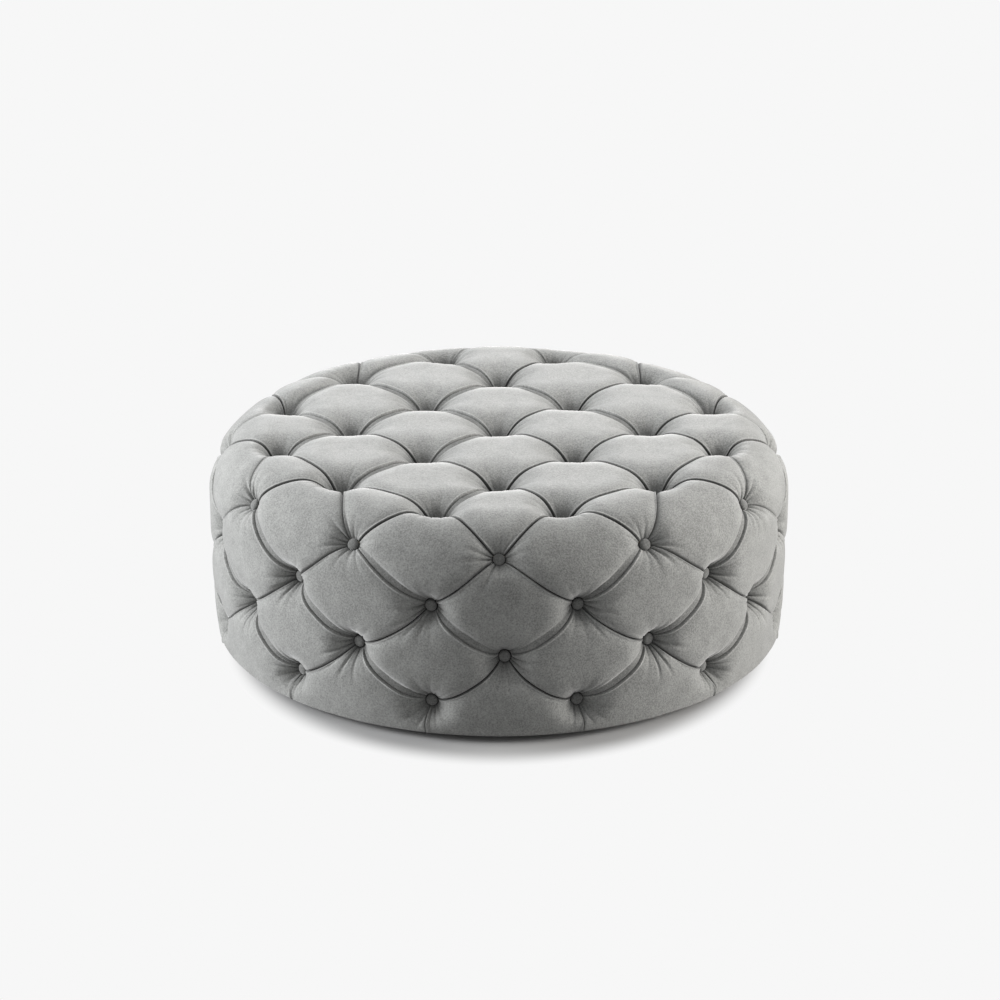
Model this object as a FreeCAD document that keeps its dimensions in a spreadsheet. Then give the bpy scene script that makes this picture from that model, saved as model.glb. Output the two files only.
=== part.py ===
# Round deep-buttoned footstool: a plywood and beech frame, foam and fibre padding,
# a stitched-in velvet cover, covered buttons on twine, and glides underneath.
# Millimetres, +Z up, origin on the floor under the middle. The front looks towards -Y.
import FreeCAD, Part
import math
import os
import Sketcher
from FreeCAD import Placement, Rotation, Vector

# Driving sizes
SIZES = {
    "widest_radius": 550,
    "hem_inset": 8,
    "overall_height": 405,
    "belly_height": 150,
    "shoulder_radius": 115,
    "glide_height": 11,
    "glide_radius": 15,
    "glide_inset": 72,
    "cloth_thick": 1,
    "cloth_inset": 42,
    "cover_thick": 2,
    "cover_flange": 110,
    "soft_gap": 0.3,
    "fibre_under": 4,
    "base_inset": 30,
    "base_width": 190,
    "base_thick": 18,
    "rail_width": 70,
    "rail_height": 32,
    "rail_bearing": 110,
    "post_side": 45,
    "inner_post_radius": 140,
    "seat_depth": 80,
    "seat_thick": 15,
    "side_depth": 80,
    "panel_thick": 6,
    "panel_joint": 0.4,
    "seat_pocket": 44,
    "side_pocket": 39,
    "foam_chamfer": 12,
    "lattice_pitch": 140,
    "ring_edge_inset": 126,
    "ring_corner_inset": 148,
    "ring_spread": 15,
    "column_spread": 14.5,
    "shoulder_drop": 66,
    "lowest_row_height": 64,
    "lower_row_twist": 1.1,
    "saddle_drop": 9,
    "sag_upper": 3,
    "sag_middle": 11,
    "sag_lower": 14,
    "button_radius": 11.45,
    "button_rise": 6.5,
    "button_edge": 1.6,
    "button_play": 0.6,
    "shank_radius": 1.75,
    "shank_length": 5.5,
    "twine_radius": 0.8,
    "bore_play": 0.3,
    "toggle_radius": 9,
    "toggle_thick": 3,
    "knot_radius": 2.2,
    "tack_radius": 1.2,
    "tack_height": 20,
    "tack_inset": 14,
    "tack_bite": 9,
    "screw_radius": 2,
    "screw_head": 4,
    "screw_head_thick": 2.5,
    "screw_bite": 34,
    "glide_screw_bite": 12,
    "pin_radius": 0.9,
    "pin_head": 2,
    "pin_head_thick": 1,
    "pin_bite": 20,
    "staple_width": 10,
    "staple_wire": 0.5,
    "staple_bite": 8,
}

# Counts
GLIDES = 6
OUTER_POSTS = 8
COLUMNS = 12
HEM_STAPLES = 48
CLOTH_STAPLES = 36
PINS_PER_POST = 3

document = FreeCAD.newDocument("tuffet")
sheet = document.addObject("Spreadsheet::Sheet", "sizes")
for row, (alias, number) in enumerate(SIZES.items(), start=1):
    sheet.set("A%d" % row, alias)
    sheet.set("B%d" % row, str(number))
    sheet.setAlias("B%d" % row, alias)
document.recompute()


def size(alias):
    return float(getattr(sheet, alias))


# Levels and radii that several pieces share
HEM_HEIGHT = size("glide_height") + size("cloth_thick")
BASE_BOTTOM = HEM_HEIGHT + size("cover_thick")
BASE_TOP = BASE_BOTTOM + size("base_thick")
RAIL_TOP = BASE_TOP + size("rail_height")
SEAT_TOP = size("overall_height") - size("seat_depth")
SEAT_BOTTOM = SEAT_TOP - size("seat_thick")
HEM_RADIUS = size("widest_radius") - size("hem_inset")
BASE_RADIUS = size("widest_radius") - size("base_inset")
BASE_INNER = BASE_RADIUS - size("base_width")
FLANGE_RADIUS = HEM_RADIUS - size("cover_flange")
CLOTH_RADIUS = HEM_RADIUS - size("cloth_inset")
PANEL_OUTER = size("widest_radius") - size("side_depth")
PANEL_INNER = PANEL_OUTER - size("panel_thick")
PADDING = size("cover_thick") + size("fibre_under")
CORE_RADIUS = size("widest_radius") - size("side_pocket") - PADDING
CORE_TOP = size("overall_height") - size("seat_pocket") - PADDING
POST_MIDDLE = math.sqrt(PANEL_INNER ** 2 - (size("post_side") / 2) ** 2) - size("soft_gap") - size("post_side") / 2

# The same levels as formulas, for the features that are bound to the sheet
LEVELS = {
    "hem": "sizes.glide_height + sizes.cloth_thick",
    "base_bottom": "sizes.glide_height + sizes.cloth_thick + sizes.cover_thick",
}
LEVELS["base_top"] = LEVELS["base_bottom"] + " + sizes.base_thick"
LEVELS["rail_top"] = LEVELS["base_top"] + " + sizes.rail_height"
LEVELS["seat_top"] = "sizes.overall_height - sizes.seat_depth"
LEVELS["seat_bottom"] = LEVELS["seat_top"] + " - sizes.seat_thick"
LEVELS["core_top"] = "sizes.overall_height - sizes.seat_pocket - sizes.cover_thick - sizes.fibre_under"
RADII = {
    "cloth": "sizes.widest_radius - sizes.hem_inset - sizes.cloth_inset",
    "base": "sizes.widest_radius - sizes.base_inset",
    "base_inner": "sizes.widest_radius - sizes.base_inset - sizes.base_width",
    "panel": "sizes.widest_radius - sizes.side_depth",
    "panel_inner": "sizes.widest_radius - sizes.side_depth - sizes.panel_thick",
    "core": "sizes.widest_radius - sizes.side_pocket - sizes.cover_thick - sizes.fibre_under",
}

UP = Vector(0, 0, 1)
DOWN = Vector(0, 0, -1)
nodes = []


def around(angle, radius, height=0.0):
    """A point at an angle in degrees from the front, counter-clockwise seen from above."""
    turn = math.radians(angle)
    return Vector(radius * math.sin(turn), -radius * math.cos(turn), height)


def outward(angle):
    return around(angle, 1)


def facing(angle):
    """A turn that takes +X to the outward direction at an angle from the front."""
    return Rotation(UP, angle - 90)


# Helpers for the document's features
def node(feature, label):
    feature.Label = label
    nodes.append(feature)
    return feature


def origin_plane(body, role):
    return [item for item in body.Origin.OriginFeatures if item.Role == role][0]


def round_plate(name, outer, bottom, thick, inner=None):
    """A disc or tube: one or two circles in a sketch, padded upwards, bound to the sheet."""
    body = document.addObject("PartDesign::Body", name + "_body")
    sketch = body.newObject("Sketcher::SketchObject", name + "_outline")
    sketch.AttachmentSupport = [(origin_plane(body, "XY_Plane"), "")]
    sketch.MapMode = "FlatFace"
    sketch.setExpression("AttachmentOffset.Base.z", bottom)
    circles = {"outer": (outer, 400), "inner": (inner, 300)}
    for title, (formula, first_guess) in circles.items():
        if formula:
            circle = sketch.addGeometry(Part.Circle(Vector(0, 0, 0), UP, first_guess))
            sketch.addConstraint(Sketcher.Constraint("Coincident", circle, 3, -1, 1))
            limit = sketch.addConstraint(Sketcher.Constraint("Radius", circle, first_guess))
            sketch.renameConstraint(limit, title)
            sketch.setExpression("Constraints." + title, formula)
    pad = body.newObject("PartDesign::Pad", name + "_pad")
    pad.Profile = sketch
    pad.setExpression("Length", thick)
    return body


def block(name, length, width, height, bottom="0"):
    """A box with its middle on the axis, bound to the sheet."""
    box = document.addObject("Part::Box", name)
    box.setExpression("Length", length)
    box.setExpression("Width", width)
    box.setExpression("Height", height)
    box.setExpression("Placement.Base.x", "-(%s) / 2" % length)
    box.setExpression("Placement.Base.y", "-(%s) / 2" % width)
    box.setExpression("Placement.Base.z", bottom)
    return box


def rod(name, radius, height, bottom="0"):
    """A cylinder standing on the axis, bound to the sheet."""
    cylinder = document.addObject("Part::Cylinder", name)
    cylinder.setExpression("Radius", radius)
    cylinder.setExpression("Height", height)
    cylinder.setExpression("Placement.Base.z", bottom)
    return cylinder


def joined(name, base, tool):
    fuse = document.addObject("Part::Fuse", name)
    fuse.Base = base
    fuse.Tool = tool
    return fuse


def shaped(name, shape):
    feature = document.addObject("Part::Feature", name)
    feature.Shape = shape
    feature.Placement = Placement()
    return feature


def drilled(name, base, shapes):
    """The base with a list of shapes cut out of it."""
    cut = document.addObject("Part::Cut", name)
    cut.Base = base
    cut.Tool = shaped(name + "_bores", Part.makeCompound(shapes))
    return cut


def copies(name, source, places):
    """One finished piece repeated at a list of placements."""
    document.recompute()
    shapes = [source.Shape.transformed(place.toMatrix(), True) for place in places]
    return shaped(name, Part.makeCompound(shapes))


def bore(start, direction, length, radius):
    return Part.makeCylinder(radius, length, start, direction)


# The smooth drum that the pillows touch
class Envelope:
    """A drum with a slightly full belly, a round shoulder and a flat top, drawn in by an inset."""

    def __init__(self, inset):
        self.inset = inset
        self.turn_radius = size("widest_radius") - size("shoulder_radius")
        self.turn_height = size("overall_height") - size("shoulder_radius")

    def side_radius(self, height):
        belly = size("belly_height")
        share = max(0.0, (belly - height) / (belly - HEM_HEIGHT))
        return size("widest_radius") - size("hem_inset") * share ** 2 - self.inset

    def foot(self, point):
        """The envelope point beside a given point, and the outward direction there."""
        flat = Vector(point.x, point.y, 0)
        radius = flat.Length
        if radius <= self.turn_radius and point.z >= self.turn_height:
            return Vector(point.x, point.y, size("overall_height") - self.inset), Vector(UP)
        radial = flat / radius
        if point.z <= self.turn_height:
            return radial * self.side_radius(point.z) + Vector(0, 0, point.z), radial
        across = radius - self.turn_radius
        normal = radial * across + Vector(0, 0, point.z - self.turn_height)
        normal.normalize()
        middle = radial * self.turn_radius + Vector(0, 0, self.turn_height)
        return middle + normal * (size("shoulder_radius") - self.inset), normal


# The buttoned points
class Tuft:
    """One buttoned point: where its button sits and which way the button faces."""

    def __init__(self, angle, radius=None, height=None):
        self.angle = angle
        self.on_top = height is None
        self.radius = size("widest_radius") - size("side_pocket") if radius is None else radius
        self.height = size("overall_height") - size("seat_pocket") if self.on_top else height
        self.axis = Vector(UP) if self.on_top else outward(angle)
        self.seat = around(angle, self.radius, self.height)
        self.neighbours = {}
        self.middles = {}

    def floor(self, inset):
        return self.seat - self.axis * inset

    def placement(self):
        turn = Rotation() if self.on_top else Rotation(UP, self.axis)
        return Placement(self.seat, turn)


def side_row(height, twist, spread):
    """Twelve tufts round the side; spread moves the outer two of every three off the even pitch."""
    tufts = []
    for column in range(COLUMNS):
        lean = (0.0, 0.0, 0.0) if spread is None else (spread, 45.0, 90.0 - spread)
        angle = 30.0 * column if spread is None else 90.0 * (column // 3) + lean[column % 3]
        tufts.append(Tuft(angle + twist, height=height))
    return tufts


PITCH = size("lattice_pitch")
CENTRE = Tuft(0.0, radius=0.0)
INNER = [Tuft(45.0 + 90.0 * quarter, radius=PITCH * math.sqrt(2)) for quarter in range(4)]
OUTER = [Tuft(90.0 * quarter, radius=PITCH * 2) for quarter in range(4)]
RING = []
for quarter in range(4):
    edge_radius = size("widest_radius") - size("ring_edge_inset")
    corner_radius = size("widest_radius") - size("ring_corner_inset")
    RING.append(Tuft(90.0 * quarter + size("ring_spread"), radius=edge_radius))
    RING.append(Tuft(90.0 * quarter + 45.0, radius=corner_radius))
    RING.append(Tuft(90.0 * quarter + 90.0 - size("ring_spread"), radius=edge_radius))
FIRST_ROW = size("overall_height") - size("shoulder_drop")
LAST_ROW = size("lowest_row_height")
ROW_STEP = (FIRST_ROW - LAST_ROW) / 3
TWIST = size("lower_row_twist")
SHOULDER = side_row(FIRST_ROW, 0.0, None)
UPPER = side_row(FIRST_ROW - ROW_STEP, TWIST, size("column_spread"))
MIDDLE = side_row(FIRST_ROW - 2 * ROW_STEP, TWIST, None)
LOWER = side_row(LAST_ROW, TWIST, size("column_spread"))
SEAT_TUFTS = [CENTRE] + INNER + OUTER + RING
SIDE_TUFTS = UPPER + MIDDLE + LOWER
ALL_TUFTS = SEAT_TUFTS + SHOULDER + SIDE_TUFTS
HEM = "hem"


# The pillows between the tufts: each is (top tuft, left tuft, right tuft, bottom tuft)
def pillow_list():
    pillows = []
    for quarter in range(4):
        ring = 3 * quarter
        before = RING[ring - 1]
        pillows.append((CENTRE, INNER[quarter - 1], INNER[quarter], OUTER[quarter]))
        pillows.append((OUTER[quarter], RING[ring], INNER[quarter], RING[ring + 1]))
        pillows.append((OUTER[(quarter + 1) % 4], INNER[quarter], RING[ring + 2], RING[ring + 1]))
        pillows.append((OUTER[quarter], before, RING[ring], SHOULDER[ring]))
    for column in range(COLUMNS):
        after = (column + 1) % COLUMNS
        pillows.append((RING[column], SHOULDER[column], SHOULDER[after], UPPER[column]))
        pillows.append((SHOULDER[column], UPPER[column - 1], UPPER[column], MIDDLE[column]))
        pillows.append((UPPER[column], MIDDLE[column], MIDDLE[after], LOWER[column]))
        pillows.append((MIDDLE[column], LOWER[column - 1], LOWER[column], HEM))
    return pillows


def corner_list():
    """The three-sided pillows between two ring tufts and the shoulder tuft below them."""
    corners = []
    for quarter in range(4):
        ring = 3 * quarter
        corners.append((SHOULDER[ring + 1], RING[ring], RING[ring + 1]))
        corners.append((SHOULDER[ring + 2], RING[ring + 1], RING[ring + 2]))
    return corners


PILLOWS = pillow_list()
CORNERS = corner_list()
WIDE_CORNER = 75.0
BESIDE = 0.25


def heading(tuft, other):
    """The direction in which the crease to another tuft, or down to the hem, leaves a tuft."""
    if other == HEM:
        return Vector(DOWN)
    envelope = Envelope(0.0)
    start = envelope.foot(tuft.seat)[0]
    ahead = envelope.foot(tuft.seat + (other.seat - tuft.seat) * BESIDE)[0] - start
    ahead -= tuft.axis * ahead.dot(tuft.axis)
    ahead.normalize()
    return ahead


def meet(tuft, left, right, needed):
    """Notes a pillow's corner at a tuft, with a floor corner halfway where it is wide."""
    for other in (left, right):
        if other not in tuft.neighbours:
            tuft.neighbours[other] = heading(tuft, other)
    first = tuft.neighbours[left]
    second = tuft.neighbours[right]
    if needed or math.degrees(first.getAngle(second)) > WIDE_CORNER:
        halfway = first + second
        halfway.normalize()
        tuft.middles[frozenset((left, right))] = halfway


for top, left, right, bottom in PILLOWS:
    meet(top, left, right, False)
    meet(left, top, bottom, True)
    meet(right, top, bottom, True)
    if bottom != HEM:
        meet(bottom, left, right, False)
for tip, left, right in CORNERS:
    meet(tip, left, right, False)
    meet(left, tip, right, False)
    meet(right, tip, left, False)


def bearing(tuft, direction):
    """The angle of a direction in the plane of a tuft's floor."""
    east = outward(tuft.angle + 90)
    north = tuft.axis.cross(east)
    return math.atan2(direction.dot(north), direction.dot(east))


def finish_tuft(tuft):
    """Sorts the floor's corners and sizes the floor so that the button fits inside its sides."""
    directions = list(tuft.neighbours.values()) + list(tuft.middles.values())
    directions.sort(key=lambda direction: bearing(tuft, direction))
    tuft.directions = directions
    gaps = []
    for place, direction in enumerate(directions):
        gap = bearing(tuft, direction) - bearing(tuft, directions[place - 1])
        gaps.append(gap % (2 * math.pi))
    tuft.reach = (size("button_radius") + size("button_play")) / math.cos(max(gaps) / 2)


for tuft in ALL_TUFTS:
    finish_tuft(tuft)

# Shares of the way along a crease, and of a pillow's height, where its sections lie
NEAR = 0.13
HALF = 0.5
FAR = 0.87
CREASE_SHARES = (NEAR, HALF, FAR)
HEM_SHARES = (0.25, 0.6, 1.0)
CREASE_SQUARENESS = 2.2
PILLOW_SQUARENESS = 3.0
FLOOR_SHARE = 0.04
FLAT_ARC = 0.5


class Skin:
    """The tufted surface, drawn in by an inset."""

    def __init__(self, inset):
        self.inset = inset
        self.envelope = Envelope(inset)
        self.hem_height = HEM_HEIGHT + inset
        self.faces = []
        self.hem_edges = []

    def depth(self, tuft):
        foot = self.envelope.foot(tuft.floor(self.inset))[0]
        return foot.distanceToPoint(tuft.floor(self.inset))

    def corner(self, tuft, other):
        return tuft.floor(self.inset) + tuft.neighbours[other] * tuft.reach

    def middle_corner(self, tuft, first, second):
        return tuft.floor(self.inset) + tuft.middles[frozenset((first, second))] * tuft.reach

    def sag(self, tuft, other):
        rows = {frozenset((0, 1)): "sag_upper", frozenset((1, 2)): "sag_middle"}
        rows[frozenset((2, 3))] = "sag_lower"
        levels = [SHOULDER, UPPER, MIDDLE, LOWER]
        found = frozenset(place for place, row in enumerate(levels) if tuft in row or other in row)
        return size(rows[found]) if found in rows else 0.0

    def crease(self, tuft, other, share):
        """A point on the crease between two tufts."""
        start = self.corner(tuft, other)
        finish = self.corner(other, tuft)
        point = start + (finish - start) * share
        point.z -= self.sag(tuft, other) * 4 * share * (1 - share)
        foot, normal = self.envelope.foot(point)
        nearer = tuft if share <= HALF else other
        rise = math.sqrt(1 - abs(2 * share - 1) ** CREASE_SQUARENESS)
        shallow = size("saddle_drop")
        return foot - normal * (shallow + (self.depth(nearer) - shallow) * (1 - rise))

    def hem_crease(self, tuft, share):
        """A point on the upright crease from a lowest tuft to the hem."""
        start = self.corner(tuft, HEM)
        point = start + (Vector(start.x, start.y, self.hem_height) - start) * share
        foot, normal = self.envelope.foot(point)
        return foot - normal * self.depth(tuft) * (1 - share) ** 2

    def crown(self, left, right, depth):
        foot, normal = self.envelope.foot((left + right) * 0.5)
        return foot - normal * depth

    def section(self, left, right, depth):
        """An edge across a pillow: an arc over its crown, or a line where it is nearly flat."""
        crown = self.crown(left, right, depth)
        if (crown - (left + right) * 0.5).Length < FLAT_ARC:
            return Part.makeLine(left, right)
        return Part.Arc(left, crown, right).toShape()

    def fan(self, tip_tuft, left, right, edge_points):
        """The flat facets between a floor's edge and the first section of a pillow."""
        start = self.corner(tip_tuft, left)
        finish = self.corner(tip_tuft, right)
        if frozenset((left, right)) in tip_tuft.middles:
            hub = self.middle_corner(tip_tuft, left, right)
            rim = [start] + edge_points + [finish]
            for first, second in zip(rim, rim[1:]):
                triangle = Part.makePolygon([hub, first, second, hub])
                self.faces.append(Part.Face(triangle))
        else:
            self.faces.append(Part.makeRuledSurface(
                Part.makeLine(start, finish), Part.makeLine(edge_points[0], edge_points[-1])))

    def strips(self, rows):
        for upper, lower in zip(rows, rows[1:]):
            self.faces.append(Part.makeRuledSurface(upper, lower))

    def rail(self, side, top, bottom):
        """The points down one side of a pillow, from its first section to its last."""
        points = [self.crease(top, side, share) for share in CREASE_SHARES]
        points.append(self.corner(side, top))
        points.append(self.middle_corner(side, top, bottom))
        points.append(self.corner(side, bottom))
        if bottom == HEM:
            points += [self.hem_crease(side, share) for share in HEM_SHARES]
        else:
            points += [self.crease(side, bottom, share) for share in CREASE_SHARES]
        return points

    def pillow(self, top, left, right, bottom):
        """A four-sided pillow, or a lowest one that ends along the hem."""
        left_rail = self.rail(left, top, bottom)
        right_rail = self.rail(right, top, bottom)
        heights = [share / 2 for share in CREASE_SHARES]
        heights += [HALF - FLOOR_SHARE, HALF, HALF + FLOOR_SHARE]
        heights += [HALF + share / 2 for share in CREASE_SHARES]
        rows = []
        last = len(heights) - 1
        for place, (start, finish) in enumerate(zip(left_rail, right_rail)):
            if place == 0 or (place == last and bottom != HEM):
                rows.append(Part.makeLine(start, finish))
            elif place == last:
                rows.append(self.hem_arc(start, finish))
            else:
                near = top if heights[place] <= HALF else bottom
                rise = math.sqrt(1 - abs(2 * heights[place] - 1) ** PILLOW_SQUARENESS)
                pocket = 0.0 if near == HEM else self.depth(near)
                rows.append(self.section(start, finish, pocket * (1 - rise)))
        self.fan(top, left, right, [left_rail[0], right_rail[0]])
        self.strips(rows)
        if bottom != HEM:
            self.fan(bottom, left, right, [left_rail[last], right_rail[last]])

    def hem_arc(self, start, finish):
        middle = self.crown(start, finish, 0.0)
        edge = Part.Arc(start, middle, finish).toShape()
        self.hem_edges.append(edge)
        return edge

    def facets(self, tip, left, right):
        """A three-sided pillow, as facets between points on its sections."""
        rows = []
        reaches = list(CREASE_SHARES) + [1.0]
        for place, share in enumerate(reaches):
            start = self.corner(left, tip) if share == 1.0 else self.crease(tip, left, share)
            finish = self.corner(right, tip) if share == 1.0 else self.crease(tip, right, share)
            rise = math.sqrt(1 - abs(2 * share * FAR - 1) ** PILLOW_SQUARENESS)
            edge = self.section(start, finish, self.depth(tip) * (1 - rise))
            if place == 0:
                edge = Part.makeLine(start, finish)
            first, last = edge.ParameterRange
            inside = [edge.valueAt(first + (last - first) * part) for part in CREASE_SHARES]
            if (inside[0] - start).Length > (inside[0] - finish).Length:
                inside.reverse()
            rows.append([start] + inside + [finish])
        across = [self.crease(left, right, share) for share in CREASE_SHARES]
        rows.append([self.corner(left, right)] + across + [self.corner(right, left)])
        self.fan(tip, left, right, rows[0])
        for upper, lower in zip(rows, rows[1:]):
            for place in range(len(upper) - 1):
                self.faces.append(Part.makeRuledSurface(
                    Part.makeLine(upper[place], upper[place + 1]),
                    Part.makeLine(lower[place], lower[place + 1])))

    def tuft_floor(self, tuft):
        points = [tuft.floor(self.inset) + direction * tuft.reach for direction in tuft.directions]
        self.faces.append(Part.Face(Part.makePolygon(points + points[:1])))

    def build(self):
        for top, left, right, bottom in PILLOWS:
            self.pillow(top, left, right, bottom)
        for tip, left, right in CORNERS:
            self.facets(tip, left, right)
        for tuft in ALL_TUFTS:
            self.tuft_floor(tuft)
        return self


def solid_from(faces):
    shell = Part.makeShell(faces)
    shell.sewShape()
    solid = Part.Solid(shell)
    if solid.Volume < 0:
        solid.reverse()
    return solid


def ring_face(hem_edges, radius, height):
    """The flat face between the hem and a round opening."""
    rim = Part.Wire(Part.__sortEdges__(hem_edges))
    circle = Part.Wire(Part.makeCircle(radius, Vector(0, 0, height)))
    return Part.Face([rim, circle], "Part::FaceMakerBullseye")


# Places that several pieces share
def turned_places(count, first_angle, radius, height, turn=None):
    places = []
    for number in range(count):
        angle = first_angle + 360.0 / count * number
        rotation = facing(angle) if turn is None else facing(angle).multiply(turn)
        places.append(Placement(around(angle, radius, height), rotation))
    return places


BORE = size("bore_play")
SCREW_BORE = size("screw_radius") + BORE
HEAD_BORE = size("screw_head") + BORE
TWINE_BORE = size("twine_radius") + BORE
POST_ANGLE = 180.0 / OUTER_POSTS
GLIDE_RADIUS = HEM_RADIUS - size("glide_inset")
GLIDE_RECESS = size("glide_height") / 2
GLIDE_PLACES = turned_places(GLIDES, 30.0, GLIDE_RADIUS, 0.0)
POST_PLACES = turned_places(OUTER_POSTS, POST_ANGLE, POST_MIDDLE, 0.0)
INNER_PLACES = turned_places(4, 0.0, size("inner_post_radius"), 0.0)
RAIL_SCREW_RADIUS = BASE_INNER + size("rail_bearing") / 2
RAIL_SCREW_SIDE = size("rail_width") / 4
LONG_BITE = size("screw_bite") + size("rail_height") - size("screw_head_thick")
PIN_MARGIN = 30.0
JOINT_LEAN = 1.4


def rail_screw_points():
    points = []
    for quarter in range(4):
        for side in (-1, 1):
            offset = outward(90.0 * quarter + 90.0) * RAIL_SCREW_SIDE * side
            points.append(around(90.0 * quarter, RAIL_SCREW_RADIUS, BASE_BOTTOM) + offset)
    return points


def lift(places, height):
    return [Placement(place.Base + Vector(0, 0, height), place.Rotation) for place in places]


def screw_bores(places, bite):
    """Clearance for upward screws whose heads start at the places."""
    shapes = []
    for place in places:
        up = place.Rotation.multVec(UP)
        shapes.append(bore(place.Base, up, size("screw_head_thick"), HEAD_BORE))
        shapes.append(bore(place.Base, up, size("screw_head_thick") + bite + BORE, SCREW_BORE))
    return shapes


# Screws, pins, tacks and staples
def screw(name, bite):
    head = rod(name + "_head", "sizes.screw_head", "sizes.screw_head_thick")
    length = "sizes.screw_head_thick + " + bite
    return joined(name, head, rod(name + "_shank", "sizes.screw_radius", length))


def staple(name, height):
    """A staple as one solid: a crown and two upright legs, its crown's underside at a height."""
    half = size("staple_width") / 2
    wire = size("staple_wire")
    crown = Part.makeBox(wire * 2, half * 2, wire * 2, Vector(-wire, -half, height))
    legs = []
    for side in (-half, half - wire * 2):
        corner = Vector(-wire, side, height + wire * 2)
        legs.append(Part.makeBox(wire * 2, wire * 2, size("staple_bite"), corner))
    return shaped(name, crown.multiFuse(legs).removeSplitter())


def leg_bores(places, height):
    """Slots for the two legs of each staple, from a height to just past their ends."""
    half = size("staple_width") / 2 + BORE / 2
    wire = size("staple_wire") + BORE / 2
    leg = size("staple_wire") * 2 + BORE
    length = HEM_HEIGHT + size("staple_wire") * 2 + size("staple_bite") + BORE - height
    shapes = []
    for place in places:
        for side in (-half, half - leg):
            slot = Part.makeBox(wire * 2, leg, length, Vector(-wire, side, height))
            shapes.append(slot.transformed(place.toMatrix(), True))
    return shapes


def crown_slots(places, height):
    """Grooves that the crowns of staples lie in, flush with the face that they hold."""
    half = size("staple_width") / 2 + BORE / 2
    wire = size("staple_wire") + BORE / 2
    slot = Part.makeBox(wire * 2, half * 2, size("staple_wire") * 2, Vector(-wire, -half, height))
    return [slot.transformed(place.toMatrix(), True) for place in places]


CROWN = size("staple_wire") * 2
HEM_STAPLE_RADIUS = FLANGE_RADIUS + size("glide_radius")
CLOTH_STAPLE_RADIUS = CLOTH_RADIUS - size("staple_width")
HEM_STAPLE_PLACES = turned_places(HEM_STAPLES, 180.0 / HEM_STAPLES, HEM_STAPLE_RADIUS, 0.0)
CLOTH_STAPLE_PLACES = turned_places(CLOTH_STAPLES, 180.0 / CLOTH_STAPLES, CLOTH_STAPLE_RADIUS, 0.0)
CLOTH_BOTTOM = size("glide_height")
GLIDE_SCREWS = lift(GLIDE_PLACES, GLIDE_RECESS)
POST_SCREWS = lift(POST_PLACES, BASE_BOTTOM)
RAIL_SCREWS = [Placement(point, Rotation()) for point in rail_screw_points()]
INNER_SCREWS = lift(INNER_PLACES, BASE_TOP)
FLIP = Rotation(Vector(1, 0, 0), 180)
TOP_SCREWS = [Placement(place.Base + Vector(0, 0, SEAT_TOP), FLIP) for place in POST_PLACES + INNER_PLACES]


# What the stool stands on
def make_glides():
    disc = rod("glide_disc", "sizes.glide_radius", "sizes.glide_height")
    recess = rod("glide_recess", "sizes.screw_head + sizes.bore_play",
                 "sizes.glide_height / 2 + sizes.screw_head_thick")
    shank = rod("glide_bore", "sizes.screw_radius + sizes.bore_play", "sizes.glide_height")
    hollow = joined("glide_hollow", recess, shank)
    cut = document.addObject("Part::Cut", "glide")
    cut.Base = disc
    cut.Tool = hollow
    node(copies("glides_set", cut, GLIDE_PLACES), "glides")
    source = screw("glide_screw", "sizes.glide_screw_bite")
    node(copies("glide_screws_set", source, lift(GLIDE_PLACES, GLIDE_RECESS)), "glide_screws")


def make_dust_cover():
    plate = round_plate("dust_cloth", RADII["cloth"], "sizes.glide_height", "sizes.cloth_thick")
    holes = [bore(place.Base, UP, HEM_HEIGHT, SCREW_BORE) for place in GLIDE_PLACES]
    holes += leg_bores(CLOTH_STAPLE_PLACES, CLOTH_BOTTOM)
    node(drilled("dust_cloth_cut", plate, holes), "dust_cover")
    source = staple("cloth_staple", CLOTH_BOTTOM - CROWN)
    node(copies("cloth_staples_set", source, CLOTH_STAPLE_PLACES), "dust_cover_staples")


# The frame
def make_base():
    plate = round_plate("base_plate", RADII["base"], LEVELS["base_bottom"], "sizes.base_thick",
                        RADII["base_inner"])
    holes = screw_bores(POST_SCREWS + RAIL_SCREWS, size("screw_bite"))
    holes += screw_bores(GLIDE_SCREWS, size("glide_screw_bite"))
    holes += leg_bores(HEM_STAPLE_PLACES + CLOTH_STAPLE_PLACES, BASE_BOTTOM)
    node(drilled("base_cut", plate, holes), "base_ring")


def make_rails():
    length = "2 * (%s + sizes.rail_bearing)" % RADII["base_inner"]
    holes = screw_bores(RAIL_SCREWS, size("screw_bite"))
    holes += screw_bores(INNER_SCREWS, LONG_BITE)
    half = "sizes.rail_height / 2"
    notch_width = "sizes.rail_width + sizes.bore_play"
    upper_notch = block("upper_notch", notch_width, notch_width, half, LEVELS["base_top"] + " + " + half)
    lower_notch = block("lower_notch", notch_width, notch_width, half, LEVELS["base_top"])
    long_rail = block("long_rail", length, "sizes.rail_width", "sizes.rail_height", LEVELS["base_top"])
    cross_rail = block("cross_rail", "sizes.rail_width", length, "sizes.rail_height", LEVELS["base_top"])
    for label, rail, notch in (("base_rail_long", long_rail, upper_notch),
                               ("base_rail_cross", cross_rail, lower_notch)):
        lapped = document.addObject("Part::Cut", label + "_lapped")
        lapped.Base = rail
        lapped.Tool = notch
        node(drilled(label + "_cut", lapped, holes), label)


def pin_heights():
    lowest = BASE_TOP + PIN_MARGIN
    step = (SEAT_BOTTOM - PIN_MARGIN - lowest) / (PINS_PER_POST - 1)
    return [lowest + step * number for number in range(PINS_PER_POST)]


def pin_places():
    places = []
    for number in range(OUTER_POSTS):
        angle = POST_ANGLE + 360.0 / OUTER_POSTS * number
        for height in pin_heights():
            turn = Rotation(UP, outward(angle) * -1)
            places.append(Placement(around(angle, PANEL_OUTER, height), turn))
    return places


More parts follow.
